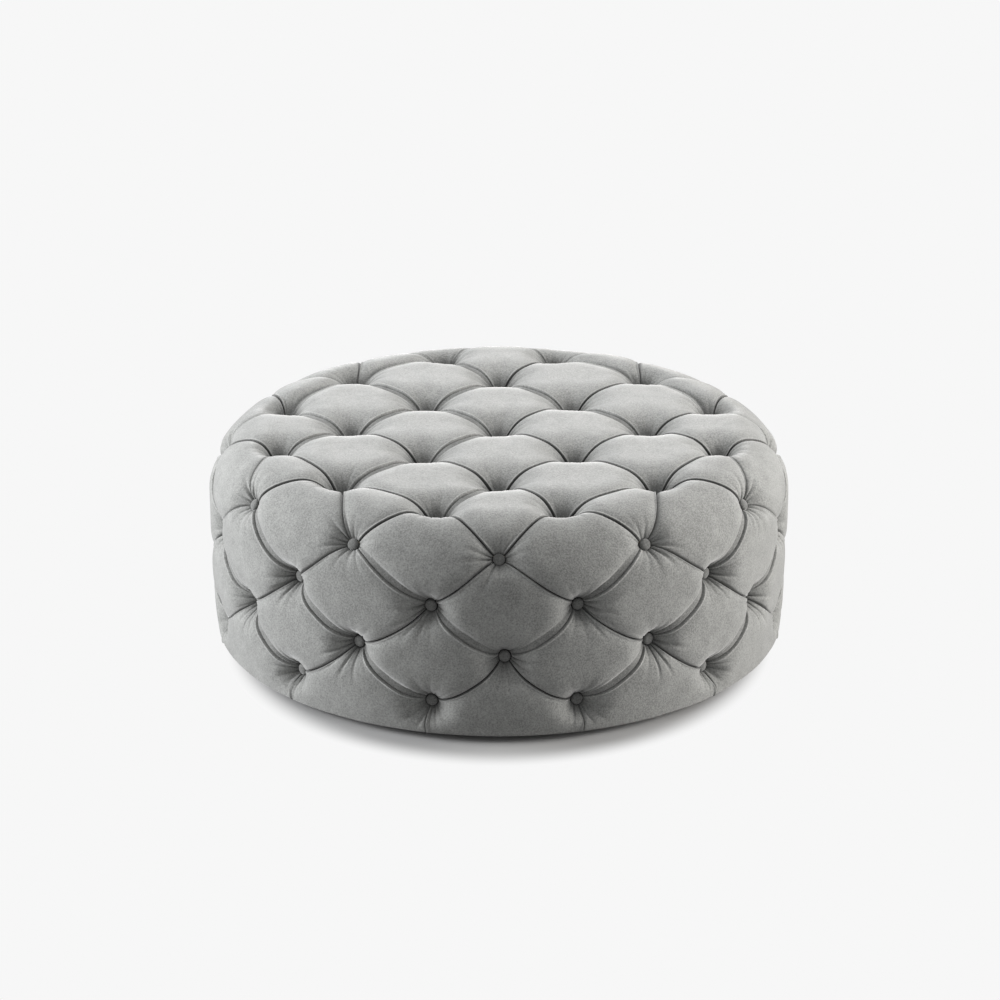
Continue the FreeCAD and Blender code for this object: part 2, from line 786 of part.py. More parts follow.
def make_posts():
    height = "%s - (%s)" % (LEVELS["seat_bottom"], LEVELS["base_top"])
    outer = block("outer_post", "sizes.post_side", "sizes.post_side", height, LEVELS["base_top"])
    pin_radius = size("pin_radius") + BORE / 2
    holes = [bore(Vector(size("post_side"), 0, level), Vector(-1, 0, 0), size("post_side") + size("pin_bite"),
                  pin_radius) for level in pin_heights()]
    middle = Vector(0, 0, BASE_BOTTOM)
    holes += screw_bores([Placement(middle, Rotation())], size("screw_bite"))
    holes += screw_bores([Placement(Vector(0, 0, SEAT_TOP), FLIP)], size("screw_bite"))
    finished = drilled("outer_post_cut", outer, holes)
    node(copies("outer_posts_set", finished, POST_PLACES), "outer_posts")
    height = "%s - (%s)" % (LEVELS["seat_bottom"], LEVELS["rail_top"])
    inner = block("inner_post", "sizes.post_side", "sizes.post_side", height, LEVELS["rail_top"])
    holes = screw_bores([Placement(Vector(0, 0, BASE_TOP), Rotation())], LONG_BITE)
    holes += screw_bores([Placement(Vector(0, 0, SEAT_TOP), FLIP)], size("screw_bite"))
    finished = drilled("inner_post_cut", inner, holes)
    node(copies("inner_posts_set", finished, INNER_PLACES), "inner_posts")


def make_screws():
    short = screw("frame_screw", "sizes.screw_bite")
    node(copies("lower_screws_set", short, POST_SCREWS + RAIL_SCREWS), "frame_screws_lower")
    node(copies("upper_screws_set", short, TOP_SCREWS), "frame_screws_upper")
    tall = screw("long_screw", "sizes.screw_bite + sizes.rail_height - sizes.screw_head_thick")
    node(copies("long_screws_set", tall, INNER_SCREWS), "inner_post_screws")


# Twine runs: from the end of a button's shank to the knot or tack that holds it
def twine_start(tuft):
    return tuft.seat - tuft.axis * size("shank_length")


TACK_RADIUS = PANEL_INNER - size("tack_inset")
TOGGLE_SETBACK = PANEL_INNER - math.sqrt(PANEL_INNER ** 2 - size("toggle_radius") ** 2)
SIDE_TOGGLE_RADIUS = PANEL_INNER - TOGGLE_SETBACK - size("soft_gap") / 10
SEAT_TOGGLE_TOP = SEAT_BOTTOM


def seat_bores(radius):
    return [bore(Vector(tuft.seat.x, tuft.seat.y, SEAT_BOTTOM), UP, size("overall_height"), radius)
            for tuft in SEAT_TUFTS]


def side_bores(tufts, inner, radius):
    shapes = []
    for tuft in tufts:
        start = around(tuft.angle, inner, tuft.height)
        shapes.append(bore(start, tuft.axis, size("widest_radius") - inner, radius))
    return shapes


def tack_places():
    return [Placement(around(tuft.angle, TACK_RADIUS, SEAT_TOP), Rotation()) for tuft in SHOULDER]


def make_seat_board():
    plate = round_plate("seat_plate", RADII["panel_inner"], LEVELS["seat_bottom"], "sizes.seat_thick")
    holes = seat_bores(TWINE_BORE) + screw_bores(TOP_SCREWS, size("screw_bite"))
    bite = size("tack_bite")
    holes += [bore(place.Base - UP * (bite + BORE), UP, bite + BORE, size("tack_radius") + BORE / 2)
              for place in tack_places()]
    node(drilled("seat_plate_cut", plate, holes), "seat_board")


def half_tube(name, first_angle, outer, inner, bottom, height):
    """Half of a tube that starts at an angle from the front, short of a whole half by the joint."""
    gap = math.degrees(size("panel_joint") / PANEL_INNER)
    sectors = []
    for title, radius in (("_outer", outer), ("_inner", inner)):
        sector = document.addObject("Part::Cylinder", name + title)
        sector.setExpression("Radius", radius)
        sector.setExpression("Height", height)
        sector.Placement = Placement(Vector(0, 0, 0), Rotation(UP, first_angle - 90 + gap / 2))
        sector.setExpression("Placement.Base.z", bottom)
        sectors.append(sector)
    sectors[0].Angle = 180 - gap
    cut = document.addObject("Part::Cut", name)
    cut.Base = sectors[0]
    cut.Tool = sectors[1]
    return cut


def make_side_panels():
    """Two half rings of thin ply that meet on a post, beside its pins."""
    height = "%s - (%s)" % (LEVELS["seat_top"], LEVELS["base_top"])
    holes = side_bores(SIDE_TUFTS, PANEL_INNER - size("toggle_radius"), TWINE_BORE)
    for place in pin_places():
        inwards = place.Rotation.multVec(UP)
        holes.append(bore(place.Base, inwards, size("pin_head_thick"), size("pin_head") + BORE))
        holes.append(bore(place.Base, inwards, size("pin_bite"), size("pin_radius") + BORE / 2))
    joint_angle = POST_ANGLE + 360.0 / OUTER_POSTS + JOINT_LEAN
    for label, first_angle in (("side_panel_front", joint_angle - 180), ("side_panel_back", joint_angle)):
        half = half_tube(label + "_half", first_angle, RADII["panel"], RADII["panel_inner"],
                         LEVELS["base_top"], height)
        node(drilled(label + "_cut", half, holes), label)


def make_pins():
    head = rod("pin_head_disc", "sizes.pin_head", "sizes.pin_head_thick")
    pin = joined("panel_pin", head, rod("pin_shank", "sizes.pin_radius", "sizes.pin_bite"))
    node(copies("panel_pins_set", pin, pin_places()), "panel_pins")


# The padding
def make_foam():
    disc = round_plate("seat_pad", RADII["core"], LEVELS["seat_top"],
                       "%s - (%s)" % (LEVELS["core_top"], LEVELS["seat_top"]))
    document.recompute()
    pad = disc.Tip
    rim = [place for place, edge in enumerate(pad.Shape.Edges, start=1)
           if abs(edge.CenterOfMass.z - CORE_TOP) < size("soft_gap") and len(edge.Vertexes) == 1]
    chamfer = disc.newObject("PartDesign::Chamfer", "seat_pad_chamfer")
    chamfer.Base = (pad, ["Edge%d" % place for place in rim])
    chamfer.setExpression("Size", "sizes.foam_chamfer")
    holes = seat_bores(TWINE_BORE) + side_bores(SHOULDER, TACK_RADIUS, TWINE_BORE)
    tack_room = size("tack_height") + size("pin_head_thick") * 2
    holes += [bore(place.Base, UP, tack_room, size("screw_head")) for place in tack_places()]
    node(drilled("seat_pad_cut", disc, holes), "seat_foam")
    height = "%s - (%s)" % (LEVELS["seat_top"], LEVELS["base_top"])
    tube = round_plate("side_pad", RADII["core"], LEVELS["base_top"], height,
                       RADII["panel"] + " + sizes.soft_gap")
    node(drilled("side_pad_cut", tube, side_bores(SIDE_TUFTS, PANEL_OUTER, TWINE_BORE)), "side_foam")


def core_with_gap():
    """What the fibre fill is hollow for: base edge, side foam and seat foam, a little oversize."""
    gap = size("soft_gap")
    edge = size("foam_chamfer")
    outline = [
        Vector(0, 0, 0),
        Vector(BASE_RADIUS + gap, 0, 0),
        Vector(BASE_RADIUS + gap, 0, BASE_TOP + gap),
        Vector(CORE_RADIUS + gap, 0, BASE_TOP + gap),
        Vector(CORE_RADIUS + gap, 0, CORE_TOP + gap - edge),
        Vector(CORE_RADIUS + gap - edge, 0, CORE_TOP + gap),
        Vector(0, 0, CORE_TOP + gap),
        Vector(0, 0, 0),
    ]
    return Part.Face(Part.makePolygon(outline)).revolve(Vector(0, 0, 0), UP, 360)


def shank_bores():
    radius = size("shank_radius") + BORE
    return [bore(tuft.seat + tuft.axis, tuft.axis * -1, PADDING + size("foam_chamfer"), radius)
            for tuft in ALL_TUFTS]


def make_fill():
    skin = Skin(size("cover_thick") + size("soft_gap")).build()
    bottom = Part.Face(Part.Wire(Part.__sortEdges__(skin.hem_edges)))
    plain = shaped("fill_outside", solid_from(skin.faces + [bottom]))
    node(drilled("fill_cut", plain, [core_with_gap()] + shank_bores()), "fibre_fill")


# The cover
def flange_faces(outer_radius):
    """The turned-under edge with its holes, out to a radius, without its outer wall."""
    plate = Part.makeCylinder(outer_radius, size("cover_thick"), Vector(0, 0, HEM_HEIGHT))
    holes = [bore(Vector(0, 0, 0), UP, BASE_TOP, FLANGE_RADIUS)]
    holes += [bore(place.Base, UP, BASE_TOP, SCREW_BORE) for place in GLIDE_PLACES]
    holes += leg_bores(HEM_STAPLE_PLACES, HEM_HEIGHT + CROWN / 2)
    holes += crown_slots(HEM_STAPLE_PLACES, HEM_HEIGHT)
    holes += leg_bores(CLOTH_STAPLE_PLACES, CLOTH_BOTTOM)
    pierced = plate.cut(holes)
    return [face for face in pierced.Faces
            if not (isinstance(face.Surface, Part.Cylinder) and face.Surface.Radius > outer_radius - BORE)]


def make_cover():
    outside = Skin(0.0).build()
    inside = Skin(size("cover_thick")).build()
    seam_radius = BASE_RADIUS
    edges = [ring_face(outside.hem_edges, seam_radius, HEM_HEIGHT),
             ring_face(inside.hem_edges, seam_radius, BASE_BOTTOM)]
    faces = outside.faces + inside.faces + edges + flange_faces(seam_radius)
    sewn = shaped("cover_cloth", solid_from(faces))
    node(drilled("cover_cut", sewn, shank_bores()), "velvet_cover")
    source = staple("hem_staple", HEM_HEIGHT)
    node(copies("hem_staples_set", source, HEM_STAPLE_PLACES), "hem_staples")


# The buttons and what ties them down
def button():
    """A covered button: a flat back, a short edge and a low dome."""
    body = document.addObject("PartDesign::Body", "button_body")
    sketch = body.newObject("Sketcher::SketchObject", "button_outline")
    sketch.AttachmentSupport = [(origin_plane(body, "XZ_Plane"), "")]
    sketch.MapMode = "FlatFace"
    radius = size("button_radius")
    edge = size("button_edge")
    rise = size("button_rise")
    bend = (radius ** 2 + (rise - edge) ** 2) / (2 * (rise - edge))
    middle = Vector(0, rise - bend, 0)
    start = math.atan2(edge - middle.y, radius)
    sketch.addGeometry(Part.LineSegment(Vector(0, 0, 0), Vector(radius, 0, 0)))
    sketch.addGeometry(Part.LineSegment(Vector(radius, 0, 0), Vector(radius, edge, 0)))
    dome = Part.Circle(middle, UP, bend)
    sketch.addGeometry(Part.ArcOfCircle(dome, start, math.pi / 2))
    sketch.addGeometry(Part.LineSegment(Vector(0, rise, 0), Vector(0, 0, 0)))
    for first, second in ((0, 1), (1, 2)):
        sketch.addConstraint(Sketcher.Constraint("Coincident", first, 2, second, 1))
    sketch.addConstraint(Sketcher.Constraint("Coincident", 2, 2, 3, 1))
    sketch.addConstraint(Sketcher.Constraint("Coincident", 3, 2, 0, 1))
    sketch.addConstraint(Sketcher.Constraint("Coincident", 0, 1, -1, 1))
    sketch.addConstraint(Sketcher.Constraint("Horizontal", 0))
    sketch.addConstraint(Sketcher.Constraint("Vertical", 1))
    sketch.addConstraint(Sketcher.Constraint("Vertical", 3))
    for title, line, value in (("radius", 0, radius), ("edge", 1, edge), ("rise", 3, rise)):
        limit = sketch.addConstraint(Sketcher.Constraint("Distance", line, value))
        sketch.renameConstraint(limit, title)
        sketch.setExpression("Constraints." + title, "sizes.button_" + title)
    turned = body.newObject("PartDesign::Revolution", "button_turned")
    turned.Profile = sketch
    turned.ReferenceAxis = (sketch, ["V_Axis"])
    turned.Angle = 360
    return body


BUTTON_ROWS = {
    "seat_buttons": SEAT_TUFTS,
    "shoulder_buttons": SHOULDER,
    "upper_side_buttons": UPPER,
    "middle_side_buttons": MIDDLE,
    "lower_side_buttons": LOWER,
}


def make_buttons():
    source = button()
    for label, tufts in BUTTON_ROWS.items():
        node(copies(label + "_set", source, [tuft.placement() for tuft in tufts]), label)
    shank = rod("button_shank", "sizes.shank_radius", "sizes.shank_length", "-sizes.shank_length")
    places = [tuft.placement() for tuft in ALL_TUFTS]
    node(copies("button_shanks_set", shank, places), "button_shanks")


def knotted_twine(start, direction, length):
    """Twine pulled straight through a toggle, with a knot behind it, turned as one solid."""
    thin = size("twine_radius")
    wide = size("knot_radius")
    outline = [
        Vector(0, 0, 0),
        Vector(thin, 0, 0),
        Vector(thin, 0, length),
        Vector(wide, 0, length),
        Vector(wide, 0, length + wide),
        Vector(thin, 0, length + 2 * wide),
        Vector(0, 0, length + 2 * wide),
        Vector(0, 0, 0),
    ]
    strand = Part.Face(Part.makePolygon(outline)).revolve(Vector(0, 0, 0), UP, 360)
    strand.Placement = Placement(start, Rotation(UP, direction))
    return strand


def make_twines():
    runs = []
    for tuft in SEAT_TUFTS:
        start = twine_start(tuft)
        length = start.z - SEAT_TOGGLE_TOP + size("toggle_thick")
        runs.append(knotted_twine(start, DOWN, length))
    node(shaped("seat_twines_set", Part.makeCompound(runs)), "seat_twines")
    runs = []
    for tuft in SIDE_TUFTS:
        start = twine_start(tuft)
        length = tuft.radius - size("shank_length") - SIDE_TOGGLE_RADIUS + size("toggle_thick")
        runs.append(knotted_twine(start, tuft.axis * -1, length))
    node(shaped("side_twines_set", Part.makeCompound(runs)), "side_twines")
    runs = []
    for tuft in SHOULDER:
        length = tuft.radius - size("shank_length") - TACK_RADIUS - size("tack_radius")
        runs.append(bore(twine_start(tuft), tuft.axis * -1, length, size("twine_radius")))
    node(shaped("shoulder_twines_set", Part.makeCompound(runs)), "shoulder_twines")


def toggle(name):
    disc = rod(name + "_disc", "sizes.toggle_radius", "sizes.toggle_thick")
    hole = rod(name + "_hole", "sizes.twine_radius + sizes.bore_play", "sizes.toggle_thick")
    cut = document.addObject("Part::Cut", name)
    cut.Base = disc
    cut.Tool = hole
    return cut


def make_toggles():
    source = toggle("toggle")
    thick = size("toggle_thick")
    places = [Placement(Vector(tuft.seat.x, tuft.seat.y, SEAT_TOGGLE_TOP - thick), Rotation())
              for tuft in SEAT_TUFTS]
    node(copies("seat_toggles_set", source, places), "seat_toggles")
    places = [Placement(around(tuft.angle, SIDE_TOGGLE_RADIUS - thick, tuft.height), Rotation(UP, tuft.axis))
              for tuft in SIDE_TUFTS]
    node(copies("side_toggles_set", source, places), "side_toggles")


def make_tacks():
    shank = rod("tack_shank", "sizes.tack_radius", "sizes.tack_height + sizes.tack_bite", "-sizes.tack_bite")
    head = rod("tack_head", "sizes.screw_head - 2 * sizes.bore_play", "sizes.pin_head_thick",
               "sizes.tack_height")
    node(copies("twine_tacks_set", joined("twine_tack", shank, head), tack_places()), "twine_tacks")


make_glides()
make_dust_cover()
make_base()
make_rails()
make_posts()
make_screws()
make_seat_board()
make_side_panels()
make_pins()
make_foam()
make_fill()
make_cover()
make_buttons()
make_twines()
make_toggles()
make_tacks()
document.recompute()

for feature in document.Objects:
    if "Invalid" in feature.State or "Error" in feature.State:
        raise RuntimeError("%s did not build: %s" % (feature.Label, feature.State))
for piece in nodes:
    if piece.Shape.isNull() or not piece.Shape.isValid():
        raise RuntimeError("%s has no valid shape" % piece.Label)

os.makedirs("parts", exist_ok=True)
for piece in nodes:
    piece.Shape.exportStep("parts/%s.step" % piece.Label)
    print("%-22s %3d solids %10.1f cm3" % (piece.Label, len(piece.Shape.Solids), piece.Shape.Volume / 1000))
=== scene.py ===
# Looks of the deep-buttoned drum footstool. Metres, +Z up, the front towards -Y.
import math

import bmesh
import bpy
import numpy as np
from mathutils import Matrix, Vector


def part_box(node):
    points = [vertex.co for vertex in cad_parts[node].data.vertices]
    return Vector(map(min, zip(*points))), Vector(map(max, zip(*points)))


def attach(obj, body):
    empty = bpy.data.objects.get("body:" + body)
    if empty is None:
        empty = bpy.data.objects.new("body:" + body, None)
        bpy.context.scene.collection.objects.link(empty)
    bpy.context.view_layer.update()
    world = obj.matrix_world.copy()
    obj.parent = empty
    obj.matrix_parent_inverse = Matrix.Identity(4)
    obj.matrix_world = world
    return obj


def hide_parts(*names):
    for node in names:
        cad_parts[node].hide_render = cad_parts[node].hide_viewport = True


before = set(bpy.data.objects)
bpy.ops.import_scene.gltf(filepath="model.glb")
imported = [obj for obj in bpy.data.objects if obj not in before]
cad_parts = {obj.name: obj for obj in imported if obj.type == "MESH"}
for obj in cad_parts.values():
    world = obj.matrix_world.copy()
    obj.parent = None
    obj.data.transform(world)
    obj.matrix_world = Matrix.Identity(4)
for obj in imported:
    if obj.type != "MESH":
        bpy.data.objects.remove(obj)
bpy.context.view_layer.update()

MM = 0.001
SEED = 7
TINY = 1e-12

# The drum's smooth outline, which the pillows touch
COVER_LOW, COVER_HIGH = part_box("velvet_cover")
WIDEST = (COVER_HIGH[0] - COVER_LOW[0]) / 2
TOP = COVER_HIGH[2]
HEM = COVER_LOW[2]
SHOULDER = 115 * MM
BELLY = 150 * MM
HEM_INSET = 8 * MM
TURN_RADIUS = WIDEST - SHOULDER
TURN_HEIGHT = TOP - SHOULDER

# The rise from which an outward direction counts as the top's, where 1 is straight up
UPRIGHT = 0.9

# The lattice of buttons: four like quarters on the top, twelve like columns round the side
QUARTERS = 4
COLUMNS = 12
SIDE_NODES = {"shoulder": "shoulder_buttons", "upper": "upper_side_buttons",
              "middle": "middle_side_buttons", "lower": "lower_side_buttons"}
ROWS = tuple(SIDE_NODES)
RINGS = ("centre", "inner", "outer", "ring")
OUTER_LIMIT = 0.8 * TURN_RADIUS
INNER_LIMIT = OUTER_LIMIT / 1.5
FRONT_TOLERANCE = 0.001

# The funnels round the buttons, and the rounding of the pillows towards their creases
BUTTON_REACH = 10.8 * MM
PILLOW_REACH = {"top": 122 * MM, "ring": 116 * MM, "side": 84 * MM}
PILLOW_SLOPE = {"top": 3.5, "ring": 4.5, "side": 3.7}
SADDLE = 8 * MM
CREASE_SLOPE = 3.0
GROOVE_REACH = 34 * MM
DEEPEST = 46 * MM

# What is added to a squared distance, so that a crease's pull stays finite on its own line
LINE_SOFTENING = 1e-9

# How far a crease hangs down at its middle, by the upper of the two rows that it joins
SAGS = (3 * MM, 11 * MM, 14 * MM)
CREASE_DRIFT = 1.2 * MM

# Steps along a pillow's side, an even number, and how they crowd towards both ends
STEPS = 60
EVENNESS = 0.24
CLUSTERING = 3.2

# The narrow ring pressed in round each button
MOAT = 5 * MM
MOAT_PLACE = 11.6 * MM
MOAT_WIDTH = 1.6 * MM

# The pleats between the buttons: a slit, an open band on one side of it and a raised lip on the other
WIDE_BAND = 15 * MM
NARROW_BAND = 0.8 * MM
BAND_BLUNTNESS = 2.5
BAND_DIP = 2.5 * MM
BAND_MARGIN = 1 * MM
LIP = 3.6 * MM
LIP_START = 0.8 * MM
LIP_SPREAD = 2.6 * MM
TIGHT_SLIT = 8 * MM
OPEN_SLIT = 2.5 * MM
HEM_SLIT = 5 * MM
SLIT_WIDTH = 0.7 * MM
JOIN_WIDTH = 2 * MM
PLEAT_FADE = (9 * MM, 20 * MM)
PLEAT_LEAN = 5 * MM
LEAN_WAVE = 0.8

# Where the pleats lie open: far to the left and right at the hem, and on the top's back and left
HEM_OPENS_FROM = 300 * MM
BACK_FROM = -100 * MM
LEFT_UP_TO = -20 * MM

# Painted shade and painted highlight in the velvet's colour, as shares of it: painted shade along the
# crease lines, across the open bands, in the ring round each button and deeper in the pits, and a painted
# highlight on the lips
LINE_SHADE = 0.75
LINE_WIDTH = 1.5 * MM
BAND_SHADE = 0.2
BAND_CORE = 0.8
BAND_EDGE = 2 * MM
MOAT_SHADE = 0.5
PIT_SHADE = 0.6
PIT_SHARES = (0.2, 1.1)
LIP_PAINTED_HIGHLIGHT = 0.6

# The small folds that fan out from a button
GATHER_COUNT = 14
GATHER_DEPTH = 12 * MM
GATHER_START = 17 * MM
GATHER_FADE = 26 * MM
GATHER_THINS = 2 * GATHER_FADE
GATHER_END = 3.4 * GATHER_FADE
GATHER_DROOP = 0.25
GATHER_LEAST = 0.3
GATHER_UNEVEN = 0.35
GATHER_WANDER = 0.9
GATHER_SWELL = 0.25

# The stuffing's unevenness: slow waves all over, with starts in radians, and how full each pillow is.
# Their lengths, heights and fullness are in millimetres.
WAVE_COUNT = 6
WAVE_LENGTHS = (60, 130)
WAVE_STARTS = (0, 6)
WAVE_HEIGHT = 1
FULLNESS = (-1.5, 0.5)

# The hem that rolls under the drum
HEM_ROLL = 4 * MM
HEM_ROLL_STEPS = 6
HEM_FADE = 34 * MM
FLANGE_RADIUS = 432 * MM
FLOOR_LIFT = 1.2 * MM
WELD = 0.1 * MM

# Covered buttons: a rolled rim with the velvet drawn over a low dome, as shares of radius and rise
BUTTON_RADIUS = 10.4 * MM
BUTTON_RISE = 6.5 * MM
BUTTON_SEGMENTS = 48
BUTTON_PROFILE = ((0.86, 0.0), (0.97, 0.10), (1.0, 0.28), (0.98, 0.46), (0.92, 0.62), (0.82, 0.75),
                  (0.66, 0.87), (0.46, 0.95), (0.24, 0.99), (0.0, 1.0))
PUCKER = 0.018
PUCKER_COUNT = 16


# Helpers on arrays of points
def unit(vectors):
    """The same directions with length 1."""
    return vectors / np.maximum(np.linalg.norm(vectors, axis=-1, keepdims=True), TINY)


def smooth(low, high, values):
    """A soft step from 0 at the low value to 1 at the high one, either way round."""
    share = np.clip((values - low) / (high - low), 0, 1)
    return share * share * (3 - 2 * share)


def envelope(points):
    """The nearest points of the smooth drum, and the outward directions there."""
    points = np.asarray(points, float)
    flat = points.copy()
    flat[..., 2] = 0
    radius = np.linalg.norm(flat, axis=-1)
    radial = flat / np.maximum(radius, TINY)[..., None]
    height = points[..., 2]
    up = np.zeros_like(points)
    up[..., 2] = 1
    on_top = ((radius <= TURN_RADIUS) & (height >= TURN_HEIGHT))[..., None]
    on_side = (height < TURN_HEIGHT)[..., None]
    share = np.maximum(0, (BELLY - height) / (BELLY - HEM))
    side_radius = WIDEST - HEM_INSET * share ** 2
    bend = unit(radial * (radius - TURN_RADIUS)[..., None] + up * (height - TURN_HEIGHT)[..., None])
    normal = np.where(on_top, up, np.where(on_side, radial, bend))
    foot_top = flat + up * TOP
    foot_side = radial * side_radius[..., None] + up * height[..., None]
    foot_bend = radial * TURN_RADIUS + up * TURN_HEIGHT + normal * SHOULDER
    return np.where(on_top, foot_top, np.where(on_side, foot_side, foot_bend)), normal


def east_of(normal):
    """A level direction along the surface, which is +X on the top."""
    if normal[2] > UPRIGHT:
        return np.array([1.0, 0.0, 0.0])
    return unit(np.cross([0.0, 0.0, 1.0], normal))


# The tufts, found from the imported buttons
def islands(mesh):
    """The points of each connected stretch of a mesh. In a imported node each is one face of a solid."""
    points = np.empty(len(mesh.vertices) * 3)
    mesh.vertices.foreach_get("co", points)
    points = points.reshape(-1, 3)
    edges = np.empty(len(mesh.edges) * 2, dtype=int)
    mesh.edges.foreach_get("vertices", edges)
    edges = edges.reshape(-1, 2)
    group = np.arange(len(points))
    changed = True
    while changed:
        low = np.minimum(group[edges[:, 0]], group[edges[:, 1]])
        before = group.copy()
        np.minimum.at(group, edges[:, 0], low)
        np.minimum.at(group, edges[:, 1], low)
        group = group[group]
        changed = bool((group != before).any())
    return [points[group == number] for number in np.unique(group)]


def turn_from_front(seat):
    """The angle round the drum from the front, where a seat a hair to its left still comes first."""
    return (math.atan2(seat[0], -seat[1]) + FRONT_TOLERANCE) % (2 * math.pi)


def depth_of(point):
    """How far a point lies below the smooth drum."""
    return float(np.linalg.norm(envelope(point)[0] - point))


def button_seats(node):
    """Where each button of a node sits, ordered round from the front: its flat back, its deepest face."""
    faces = islands(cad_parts[node].data)
    middles = [(face.min(axis=0) + face.max(axis=0)) / 2 for face in faces]
    seats = []
    for middle in sorted(middles, key=depth_of, reverse=True):
        if all(np.linalg.norm(middle - other) > BUTTON_REACH for other in seats):
            seats.append(middle)
    return sorted(seats, key=turn_from_front)


def ring_of(seat):
    """The ring of the top's buttons that a seat belongs to."""
    radius = math.hypot(seat[0], seat[1])
    if radius < BUTTON_REACH:
        return "centre"
    if radius < INNER_LIMIT:
        return "inner"
    return "outer" if radius < OUTER_LIMIT else "ring"


SEATS = {}
for row, node in SIDE_NODES.items():
    for number, seat in enumerate(button_seats(node)):
        SEATS[row, number] = seat
for seat in button_seats("seat_buttons"):
    ring = ring_of(seat)
    SEATS[ring, sum(key[0] == ring for key in SEATS)] = seat


def funnel(tuft):
    """The kind of funnel a tuft draws: in the side, in the ring round the top's edge, or in the top."""
    if tuft[0] in ROWS:
        return "side"
    return "ring" if tuft[0] == "ring" else "top"


def pillow_corners():
    """The pillows, each a list of tufts in order round it."""
    pillows = []
    for quarter in range(QUARTERS):
        ring = quarter * COLUMNS // QUARTERS
        after = ("outer", (quarter + 1) % QUARTERS)
        before = ("inner", (quarter - 1) % QUARTERS)
        pillows.append([("centre", 0), before, ("outer", quarter), ("inner", quarter)])
        pillows.append([("outer", quarter), ("ring", ring), ("ring", ring + 1), ("inner", quarter)])
        pillows.append([after, ("inner", quarter), ("ring", ring + 1), ("ring", ring + 2)])
        behind = ("ring", (ring - 1) % COLUMNS)
        pillows.append([("outer", quarter), behind, ("shoulder", ring), ("ring", ring)])
        pillows.append([("shoulder", ring + 1), ("ring", ring + 1), ("ring", ring)])
        pillows.append([("shoulder", ring + 2), ("ring", ring + 2), ("ring", ring + 1)])
    for column in range(COLUMNS):
        after = (column + 1) % COLUMNS
        before = (column - 1) % COLUMNS
        pillows.append([("ring", column), ("shoulder", column), ("upper", column), ("shoulder", after)])
        pillows.append([("shoulder", column), ("upper", before), ("middle", column), ("upper", column)])
        pillows.append([("upper", column), ("middle", column), ("lower", column), ("middle", after)])
    return pillows


# The creases between the tufts
def clustered(steps):
    """Shares from 0 to 1 that lie closer together near both ends."""
    half = np.linspace(0, 1, steps // 2 + 1)
    shares = (EVENNESS * half + (1 - EVENNESS) * half ** CLUSTERING) / 2
    return np.concatenate([shares, 1 - shares[-2::-1]])


SHARES = clustered(STEPS)
CREASES = {}
random = np.random.default_rng(SEED)


def crease(first, second):
    """Points on the smooth drum along the crease between two tufts, from the first to the second."""
    key = (first, second) if (first, second) in CREASES else (second, first)
    if key not in CREASES:
        key = (first, second)
        ends = [envelope(SEATS[tuft])[0] for tuft in key]
        points = ends[0] + (ends[1] - ends[0]) * SHARES[:, None]
        arch = (4 * SHARES * (1 - SHARES))[:, None]
        levels = sorted(ROWS.index(tuft[0]) for tuft in key if tuft[0] in ROWS)
        sag = SAGS[levels[0]] if len(levels) == 2 else 0.0
        drift = random.normal(0, CREASE_DRIFT)
        along = unit(ends[1] - ends[0])
        side = np.cross(envelope(points)[1], along)
        points = points + side * drift * arch - np.array([0, 0, sag]) * arch
        CREASES[key] = envelope(points)[0]
    return CREASES[key] if key[0] == first else CREASES[key][::-1]


def hem_crease(tuft):
    """The short upright pleat from a lowest tuft down to the hem."""
    start = envelope(SEATS[tuft])[0]
    points = np.repeat(start[None], STEPS + 1, axis=0)
    points[:, 2] = start[2] + (HEM + HEM_ROLL - start[2]) * SHARES
    side = unit(np.cross([0.0, 0.0, 1.0], [start[0], start[1], 0.0]))
    lean = PLEAT_LEAN if start[0] > 0 else -PLEAT_LEAN
    points = points + side * (lean * np.sin(np.pi * SHARES * LEAN_WAVE))[:, None]
    return envelope(points)[0]


def slope_depth(share, pocket, saddle, power):
    """Depth on the way from a button, at share 0, to a saddle or crown, at share 1."""
    return saddle + (pocket - saddle) * (1 - np.clip(share, 0, 1)) ** power


def off_hem(points):
    """A share that goes to 0 at the hem, where the drum is drawn straight."""
    return smooth(HEM + HEM_ROLL, HEM + HEM_FADE, points[..., 2])


def down_then_forward(seat):
    """Sorts seats from the highest down, and those at one height, to a millimetre, from the back on."""
    return -round(seat[2] / MM), -seat[1]


def folds_wide(first, second):
    """Whether the pleat along a crease lies open. On the side those that run down to the front do."""
    if second[0] == "hem":
        return abs(SEATS[first][0]) > HEM_OPENS_FROM
    upper, lower = sorted((SEATS[first], SEATS[second]), key=down_then_forward)
    if first[0] in ROWS and second[0] in ROWS:
        return abs(lower[0]) < abs(upper[0])
    if first[0] in ROWS or second[0] in ROWS:
        return False
    return lower[1] > BACK_FROM if upper[0] < lower[0] else lower[0] < LEFT_UP_TO


def holds_band(first, second, middle):
    """Whether the open pleat lies on this pillow: the upper one on the side, the front one on top."""
    centre = crease(first, second)[STEPS // 2]
    rows = [tuft[0] in ROWS for tuft in (first, second)]
    if all(rows):
        return middle[2] > centre[2]
    if any(rows):
        return middle[2] < centre[2]
    if first[0] == second[0] == "ring":
        return np.hypot(*middle[:2]) > np.hypot(*centre[:2])
    return middle[1] < centre[1]


